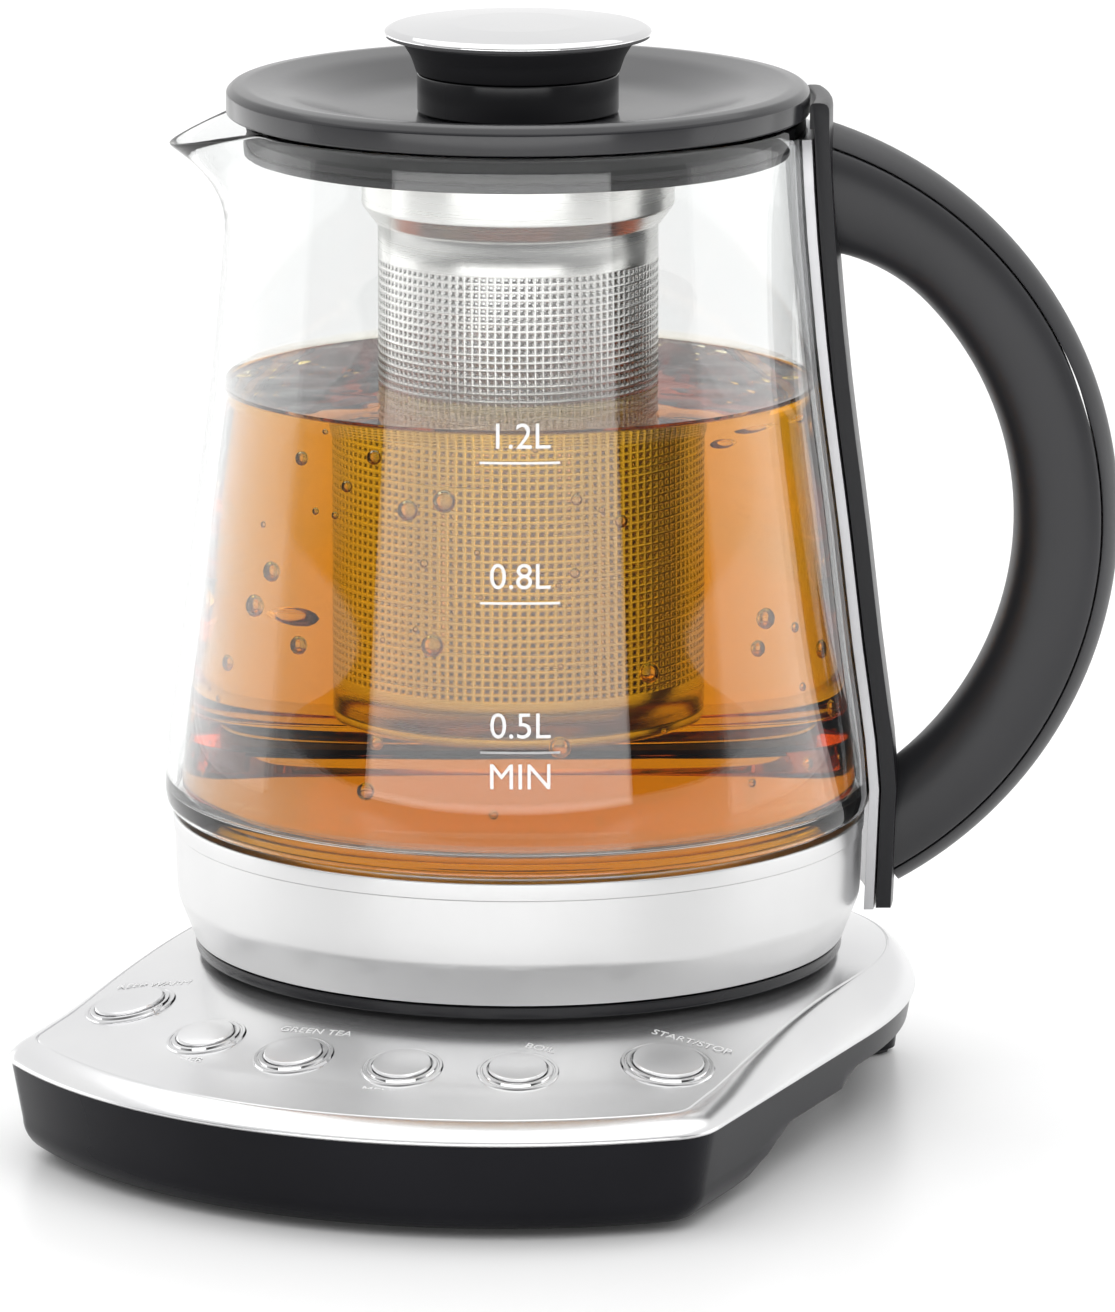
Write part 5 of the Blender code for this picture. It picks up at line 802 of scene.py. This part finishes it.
def handle_shape(cut_at, outward):
    """The handle's section cut at a distance from its middle line, swept about the handle's centre."""
    shape = bmesh.new()
    bmesh.ops.create_circle(shape, cap_ends=True, segments=SECTION_POINTS, radius=1.0)
    power = 2 / HANDLE_ROUNDNESS
    for corner in shape.verts:
        corner.co.x = math.copysign(abs(corner.co.x) ** power, corner.co.x) * HANDLE_HALF_THICKNESS
        corner.co.y = math.copysign(abs(corner.co.y) ** power, corner.co.y) * HANDLE_HALF_WIDTH
    geometry = [*shape.verts, *shape.edges, *shape.faces]
    bmesh.ops.bisect_plane(shape, geom=geometry, plane_co=(cut_at, 0.0, 0.0), plane_no=(-outward, 0.0, 0.0),
                           clear_outer=True)
    corners = [corner for corner in shape.verts if abs(corner.co.x - cut_at) < WELD]
    bmesh.ops.bevel(shape, geom=corners, offset=HANDLE_SEAM_ROUND, affect="VERTICES", segments=ROUND_SEGMENTS,
                    profile=0.5, material=-1)
    bmesh.ops.translate(shape, verts=shape.verts, vec=(HANDLE_CENTRE_X + HANDLE_RADIUS, 0.0, HANDLE_CENTRE_Z))
    centre = Vector((HANDLE_CENTRE_X, 0.0, HANDLE_CENTRE_Z))
    bmesh.ops.rotate(shape, verts=shape.verts, cent=centre, matrix=Matrix.Rotation(-HANDLE_TOP_ANGLE, 3, "Y"))
    bmesh.ops.spin(shape, geom=[*shape.verts, *shape.edges, *shape.faces], cent=centre, axis=(0.0, 1.0, 0.0),
                   dvec=(0.0, 0.0, 0.0), angle=HANDLE_TOP_ANGLE - HANDLE_BOTTOM_ANGLE, steps=HANDLE_STEPS,
                   use_merge=False)
    bmesh.ops.remove_doubles(shape, verts=shape.verts, dist=WELD)
    for corner in shape.verts:
        arm = corner.co - centre
        turn = math.atan2(arm.z, arm.x)
        reach = math.hypot(arm.x, arm.z)
        share = (HANDLE_TOP_ANGLE - turn) / (HANDLE_TOP_ANGLE - HANDLE_BOTTOM_ANGLE)
        depth = HANDLE_RADIUS - reach
        if depth > 0.0 and share < HANDLE_ROOT_SHARE:
            flare = HANDLE_ROOT_FLARE * (1 - max(share, 0.0) / HANDLE_ROOT_SHARE) ** 2
            longer = depth * (HANDLE_HALF_THICKNESS + flare) / HANDLE_HALF_THICKNESS
            new_reach = HANDLE_RADIUS - longer
            corner.co.x = centre.x + new_reach * math.cos(turn)
            corner.co.z = centre.z + new_reach * math.sin(turn)
    bmesh.ops.recalc_face_normals(shape, faces=shape.faces)
    for (foot_x, foot_z), (head_x, head_z), low, high in HANDLE_SEATS:
        trimmed(shape, (foot_x, 0.0, foot_z), (foot_z - head_z, 0.0, head_x - foot_x), low, high)
    bmesh.ops.recalc_face_normals(shape, faces=shape.faces)
    return shape


def make_handle():
    half_seam = HANDLE_SEAM / 2
    grip = handle_shape(HANDLE_COVER_OFFSET - half_seam, -1.0)
    piece("handle_grip", grip, CHARCOAL, "carafe", stands_for=["handle"])
    back = handle_shape(HANDLE_COVER_OFFSET + half_seam, 1.0)
    piece("handle_back", back, CHARCOAL, "carafe", stands_for=["handle_cover"])


def base_outline(inset):
    """The base's outline drawn in by inset, counter-clockwise from above, as (x, y)."""
    half_width = BASE_HALF_WIDTH - inset
    arc_radius = FRONT_ARC_RADIUS - inset
    corner = FRONT_CORNER_RADIUS - inset
    centre = BASE_FRONT_REACH - FRONT_ARC_RADIUS
    corner_x = half_width - corner
    corner_forward = centre + math.sqrt((arc_radius - corner) ** 2 - corner_x ** 2)
    meet = math.atan2(corner_x, corner_forward - centre)
    right = [(arc_radius * math.sin(turn), centre + arc_radius * math.cos(turn))
             for turn in even(FRONT_ARC_POINTS, 0.0, meet)[:-1]]
    right += [(corner_x + corner * math.sin(turn), corner_forward + corner * math.cos(turn))
              for turn in even(FRONT_CORNER_POINTS, meet, math.pi / 2)]
    right += [(half_width, corner_forward * (1 - step / BASE_SIDE_POINTS))
              for step in range(1, BASE_SIDE_POINTS)]
    power = 2 / BACK_SQUARENESS
    back = BASE_BACK_REACH - inset
    right += [(half_width * math.cos(turn) ** power, -back * math.sin(turn) ** power)
              for turn in even(BACK_POINTS, 0.0, math.pi / 2)[:-1]]
    right.append((0.0, -back))
    left = [(-x, forward) for x, forward in reversed(right[1:-1])]
    return [(x, -forward) for x, forward in right + left]


def panel_height(radius):
    """Height of the plate's upper face at a distance from the kettle's axis. Its front is flatter."""
    down_panel = min(max(radius - SEAT_RADIUS, 0.0), PANEL_FLARE_START - SEAT_RADIUS)
    beyond = max(radius - PANEL_FLARE_START, 0.0)
    return SEAT_Z - down_panel * math.tan(PANEL_SLOPE) - beyond * math.tan(PANEL_FLARE_SLOPE)


def loop(shape, points):
    """A closed loop of edges through points."""
    row = [shape.verts.new(point) for point in points]
    return [shape.edges.new(pair) for pair in zip(row, row[1:] + row[:1])]


def lofted(loops):
    """A sheet through a row of closed loops of points."""
    shape = bmesh.new()
    rows = [loop(shape, points) for points in loops]
    for above, below in zip(rows, rows[1:]):
        bmesh.ops.bridge_loops(shape, edges=above + below)
    return shape


def closed_up(shape):
    """Fills a sheet's open loops and turns its faces outwards."""
    rims = [edge for edge in shape.edges if len(edge.link_faces) == 1]
    bmesh.ops.holes_fill(shape, edges=rims)
    bmesh.ops.recalc_face_normals(shape, faces=shape.faces)


def plate_loops():
    """From inside the plate's lower edge, over its shoulder and up the panel to the connector's hole."""
    ridge = [(x, y, panel_height(math.hypot(x, y))) for x, y in base_outline(SHOULDER_WIDTH)]
    loops = [[(x, y, PLATE_EDGE_Z) for x, y in base_outline(inset)]
             for inset in (PLATE_THICKNESS, PLATE_EDGE_ROUND)]
    loops.append([(x, y, PLATE_EDGE_Z + PLATE_EDGE_ROUND) for x, y in base_outline(0.0)])
    low = PLATE_EDGE_Z + PLATE_LIP
    for share in even(SHOULDER_STEPS, 0.0, 1.0):
        turn = share * math.pi / 2
        ring = base_outline(SHOULDER_WIDTH * mix(share, 1 - math.cos(turn), SHOULDER_ROUNDNESS))
        rise = mix(share, math.sin(turn), SHOULDER_ROUNDNESS)
        loops.append([(x, y, mix(low, top[2], rise)) for (x, y), top in zip(ring, ridge)])
    for width, drop in ((CREASE_EDGE, 0.0), (CREASE_WIDTH / 2, CREASE_DEPTH), (CREASE_WIDTH, CREASE_DEPTH)):
        ring = base_outline(SHOULDER_WIDTH + width)
        loops.append([(x, y, panel_height(math.hypot(x, y)) - drop) for x, y in ring])
    crease = [(x, y, panel_height(math.hypot(x, y))) for x, y in base_outline(SHOULDER_WIDTH + CREASE_END)]
    for share in even(PANEL_RINGS, 0.0, 1.0):
        ring = []
        for x, y, _ in crease:
            reach = math.hypot(x, y)
            radius = mix(reach, SEAT_RADIUS, share)
            ring.append((x / reach * radius, y / reach * radius, panel_height(radius)))
        loops.append(ring)
    for radius, drop in ((SEAT_RADIUS - SEAT_STEP, 0.0), (CONNECTOR_HOLE, 0.0),
                         (CONNECTOR_HOLE, PLATE_THICKNESS)):
        loops.append([(x / math.hypot(x, y) * radius, y / math.hypot(x, y) * radius, SEAT_Z - drop)
                      for x, y, _ in crease])
    return loops


def make_plate():
    shape = lofted(plate_loops())
    bmesh.ops.recalc_face_normals(shape, faces=shape.faces)
    piece("pressed_plate", shape, PANEL_STEEL, "power_base", ON_BASE, ["base_top_plate"])


def underside(forward):
    """How high the housing's bottom lies at a distance ahead of the kettle's axis."""
    steps = ((POD_END, HOUSING_BOTTOM), (POD_END - POD_SLOPE_RUN, MIDDLE_UNDERSIDE),
             (MIDDLE_END, MIDDLE_UNDERSIDE), (MIDDLE_END - BACK_SLOPE_RUN, BACK_UNDERSIDE))
    if forward >= steps[0][0]:
        return HOUSING_BOTTOM
    for (near, near_z), (far, far_z) in zip(steps, steps[1:]):
        if forward >= far:
            return mix(near_z, far_z, (near - forward) / (near - far))
    return BACK_UNDERSIDE


def housing_loops():
    """The housing's side from its rim down to its rounded bottom edge."""
    loops = []
    straight_end = HOUSING_BOTTOM + HOUSING_ROUND
    for height in even(HOUSING_SIDE_STEPS, HOUSING_RIM, straight_end):
        share = (HOUSING_RIM - height) / (HOUSING_RIM - straight_end)
        loops.append([(x, y, height) for x, y in base_outline(HOUSING_INSET + HOUSING_TAPER * share)])
    for turn in even(HOUSING_ROUND_STEPS, 0.0, math.pi / 2)[1:]:
        inset = HOUSING_INSET + HOUSING_TAPER + HOUSING_ROUND * (1 - math.cos(turn))
        height = HOUSING_BOTTOM + HOUSING_ROUND * (1 - math.sin(turn))
        loops.append([(x, y, height) for x, y in base_outline(inset)])
    return loops


def make_housing():
    """The tray under the plate, raised behind its front part to leave room for the cord."""
    shape = lofted(housing_loops())
    closed_up(shape)
    for forward in (POD_END, POD_END - POD_SLOPE_RUN, MIDDLE_END, MIDDLE_END - BACK_SLOPE_RUN):
        bmesh.ops.bisect_plane(shape, geom=[*shape.verts, *shape.edges, *shape.faces],
                               plane_co=(0.0, -forward, 0.0), plane_no=(0.0, 1.0, 0.0))
    for corner in shape.verts:
        corner.co.z = max(corner.co.z, underside(-corner.co.y))
    bmesh.ops.remove_doubles(shape, verts=shape.verts, dist=WELD)
    for right, forward in REAR_LEGS:
        leg = bmesh.new()
        middle = (HOUSING_BOTTOM + BACK_UNDERSIDE) / 2
        bmesh.ops.create_cone(leg, cap_ends=True, segments=LEG_SEGMENTS, radius1=LEG_FOOT_RADIUS,
                              radius2=LEG_ROOT_RADIUS, depth=BACK_UNDERSIDE - HOUSING_BOTTOM + LEG_SINK,
                              matrix=Matrix.Translation((right, -forward, middle + LEG_SINK / 2)))
        absorb(shape, leg)
    piece("moulded_housing", shape, HOUSING_PLASTIC, "power_base", ON_BASE,
          ["base_housing"])


def button_place(angle):
    """Puts a button's own axis upright on the panel, at an angle round the kettle's axis."""
    spot = Matrix.Translation((BUTTON_RING_RADIUS * math.sin(angle), -BUTTON_RING_RADIUS * math.cos(angle),
                               panel_height(BUTTON_RING_RADIUS)))
    return spot @ Matrix.Rotation(angle, 4, "Z") @ Matrix.Rotation(PANEL_SLOPE, 4, "X")


def make_buttons():
    """A stepped bezel of two thin rings and a slightly domed cap for each button."""
    for number, (angle, radius) in enumerate(zip(BUTTON_ANGLES, BUTTON_CAP_RADII), 1):
        place = ON_BASE @ Matrix.Scale(MM, 4) @ button_place(math.radians(angle)) @ Matrix.Scale(1 / MM, 4)
        bore = radius + BEZEL_GAP
        rings = [(bore + out, height, BEZEL_ROUND) for out, height in BEZEL_RINGS]
        seat = [(bore + BEZEL_RINGS[-1][0], BEZEL_SEAT, 0.0), (bore, BEZEL_SEAT, 0.0)]
        bezel = lathe(filleted(rings + seat, True), steps=BUTTON_STEPS)
        piece(f"bezel_{number}", bezel, MIRROR_STEEL, "power_base", place,
              [f"button_bezel_{number}"])
        edge = CAP_TOP - CAP_DOME
        dome = [(0.0, CAP_TOP, 0.0), (radius / 2, CAP_TOP - CAP_DOME_MIDDLE, 0.0),
                (radius - CAP_EDGE, edge, CAP_ROUND), (radius, edge - CAP_EDGE, CAP_ROUND),
                (radius, CAP_SKIRT, 0.0), (0.0, CAP_SKIRT, 0.0)]
        cap = lathe(filleted(dome, False), closed=False, steps=BUTTON_STEPS)
        piece(f"cap_{number}", cap, BUTTON_STEEL, f"button_{number}", place,
              [f"button_{number}"])


def lettering(words, height, thickness):
    """Words as a flat mesh, in millimetres, centred on their middle."""
    curve = bpy.data.curves.new("lettering", "FONT")
    curve.body = words
    curve.size = height * LETTER_SIZE_FOR_CAPITALS
    curve.align_x = "CENTER"
    curve.align_y = "CENTER"
    curve.extrude = thickness / 2
    curve.resolution_u = LETTER_CURVE_STEPS
    holder = bpy.data.objects.new("lettering", curve)
    bpy.context.scene.collection.objects.link(holder)
    mesh = bpy.data.meshes.new_from_object(holder)
    bpy.data.objects.remove(holder)
    bpy.data.curves.remove(curve)
    shape = bmesh.new()
    shape.from_mesh(mesh)
    bpy.data.meshes.remove(mesh)
    bmesh.ops.remove_doubles(shape, verts=shape.verts, dist=WELD)
    bmesh.ops.triangulate(shape, faces=shape.faces)
    return shape


def mark_line(width, height, thickness):
    """A thin printed line, cut into short lengths so that it bends."""
    shape = bmesh.new()
    bmesh.ops.create_cube(shape, size=1.0, matrix=Matrix.Diagonal((width, height, thickness, 1.0)))
    along = [edge for edge in shape.edges if abs(edge.verts[0].co.x - edge.verts[1].co.x) > width / 2]
    bmesh.ops.subdivide_edges(shape, edges=along, cuts=MARK_CUTS, use_grid_fill=True)
    return shape


def make_marks():
    """The water marks, printed on the glass and bent with it."""
    marks = bmesh.new()
    for words, line_z, words_z in VOLUME_MARKS:
        for shape, height in ((mark_line(MARK_WIDTH, MARK_LINE, MARK_THICKNESS), line_z),
                              (lettering(words, MARK_CAPITALS, MARK_THICKNESS), words_z)):
            bmesh.ops.translate(shape, verts=shape.verts, vec=(0.0, height, 0.0))
            absorb(marks, shape)
    for corner in marks.verts:
        across, height, proud = corner.co
        reach = side_radius(height) + MARK_THICKNESS / 2 + proud - MARK_SINK
        turn = MARK_TURN + across / side_radius(height)
        corner.co = Vector((reach * math.cos(turn), reach * math.sin(turn), height))
    bmesh.ops.recalc_face_normals(marks, faces=marks.faces)
    piece("water_marks", marks, INK, "carafe", smooth=False)


def make_labels():
    """Plain words beside the buttons, laid on the sloping panel."""
    labels = bmesh.new()
    for (words, out), angle in zip(BUTTON_LABELS, BUTTON_ANGLES):
        shape = lettering(words, LABEL_CAPITALS, LABEL_THICKNESS)
        turn = math.radians(angle)
        square = Matrix.Rotation(-turn, 4, "Z")
        lift = Matrix.Translation((0.0, out, LABEL_THICKNESS / 2 - LABEL_SINK))
        bmesh.ops.transform(shape, matrix=button_place(turn) @ square @ lift, verts=shape.verts)
        absorb(labels, shape)
    piece("button_labels", labels, LABEL_INK, "power_base", ON_BASE, smooth=False)


def dress_frame():
    """Gives each piece of the frame that stays in sight its own finish."""
    finishes = (
        (SCREW_STEEL, ("base_screw_1", "base_screw_2", "base_screw_3", "base_screw_4",
                       "underbody_screw_1", "underbody_screw_2", "underbody_screw_3",
                       "handle_screw_1", "handle_screw_2", "knob_screw")),
        (BLACK, ("base_frame", "connector_post", "connector_socket", "cord_inlet_bush")),
        (SILICONE, ("foot_front_left", "foot_front_right", "foot_rear_left", "foot_rear_right",
                    "heater_seal")),
        (BRASS, ("contact_ring_inner", "contact_ring_outer", "contact_pin", "temperature_sensor")),
        (BOARD_GREEN, ("control_board", "power_board")),
        (TRIM_METAL, ("heating_element", "thermal_fuse")),
    )
    for finish, names in finishes:
        for name in names:
            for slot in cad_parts[name].material_slots:
                slot.material = finish


def make_floor():
    shape = bmesh.new()
    bmesh.ops.create_grid(shape, x_segments=1, y_segments=1, size=FLOOR_HALF)
    mesh = bpy.data.meshes.new("floor")
    shape.to_mesh(mesh)
    shape.free()
    mesh.materials.append(worktop())
    floor = bpy.data.objects.new("floor", mesh)
    bpy.context.scene.collection.objects.link(floor)


def make_camera():
    """The camera of the photograph, level but pitched down."""
    back = Vector((math.sin(CAMERA_AZIMUTH), -math.cos(CAMERA_AZIMUTH), 0.0))
    right = Vector((math.cos(CAMERA_AZIMUTH), math.sin(CAMERA_AZIMUTH), 0.0))
    spot = Vector((AXIS_X, AXIS_Y, CAMERA_HEIGHT)) + back * CAMERA_DISTANCE + right * CAMERA_RIGHT
    lens = bpy.data.cameras.new("camera")
    lens.sensor_fit = "VERTICAL"
    lens.sensor_height = SENSOR_HEIGHT
    lens.lens = FOCAL_PIXELS / PHOTO_HEIGHT * SENSOR_HEIGHT
    lens.clip_end = CAMERA_REACH * MM
    camera = bpy.data.objects.new("camera", lens)
    camera.location = spot * MM
    camera.rotation_euler = (math.pi / 2 - CAMERA_PITCH, 0.0, CAMERA_AZIMUTH)
    bpy.context.scene.collection.objects.link(camera)
    bpy.context.scene.camera = camera


def softbox(name, width, length, power, spot, aim):
    """A soft rectangular light at a spot, turned to face along a direction."""
    light = bpy.data.lights.new(name, "AREA")
    light.shape = "RECTANGLE"
    light.size = width
    light.size_y = length
    light.energy = power
    holder = bpy.data.objects.new(name, light)
    holder.location = spot
    holder.rotation_euler = aim.to_track_quat("-Z", "Y").to_euler()
    holder.visible_camera = False
    bpy.context.scene.collection.objects.link(holder)


def make_light():
    """Upright boxes round the kettle, one overhead, and a room that is pale behind it and dim in front."""
    middle = Vector((AXIS_X * MM, AXIS_Y * MM, 0.0))
    for name, azimuth, distance, height, width, length, power in SOFTBOXES:
        turn = CAMERA_AZIMUTH + math.radians(azimuth)
        out = Vector((math.sin(turn), -math.cos(turn), 0.0))
        softbox(name, width, length, power, middle + out * distance + Vector((0.0, 0.0, height)), -out)
    name, behind, height, side, power = OVERHEAD
    away = Vector((-math.sin(CAMERA_AZIMUTH), math.cos(CAMERA_AZIMUTH), 0.0))
    softbox(name, side, side, power, middle + away * behind + Vector((0.0, 0.0, height)),
            Vector((0.0, 0.0, -1.0)))
    world = bpy.data.worlds.new("studio")
    world.use_nodes = True
    tree = world.node_tree
    room = tree.nodes["Background"]
    room.inputs["Color"].default_value = (1.0, 1.0, 1.0, 1.0)
    way = tree.nodes.new("ShaderNodeTexCoord")
    facing = tree.nodes.new("ShaderNodeVectorMath")
    facing.operation = "DOT_PRODUCT"
    facing.inputs[1].default_value = away + Vector((0.0, 0.0, BACKDROP_RISE))
    link(tree, way.outputs["Generated"], facing.inputs[0])
    spread = tree.nodes.new("ShaderNodeMapRange")
    spread.inputs["From Min"].default_value = BACKDROP_TURN[0]
    spread.inputs["From Max"].default_value = BACKDROP_TURN[1]
    spread.inputs["To Min"].default_value = ROOM_STRENGTH
    spread.inputs["To Max"].default_value = BACKDROP_STRENGTH
    link(tree, facing.outputs["Value"], spread.inputs["Value"])
    link(tree, spread.outputs["Result"], room.inputs["Strength"])
    bpy.context.scene.world = world
    bpy.context.scene.view_settings.view_transform = "Standard"


make_glass()
make_tea()
make_bubbles()
make_round_pieces()
make_heater_face()
make_infuser()
make_strips()
make_handle()
make_plate()
make_housing()
make_buttons()
make_marks()
make_labels()
dress_frame()
make_floor()
make_camera()
make_light()
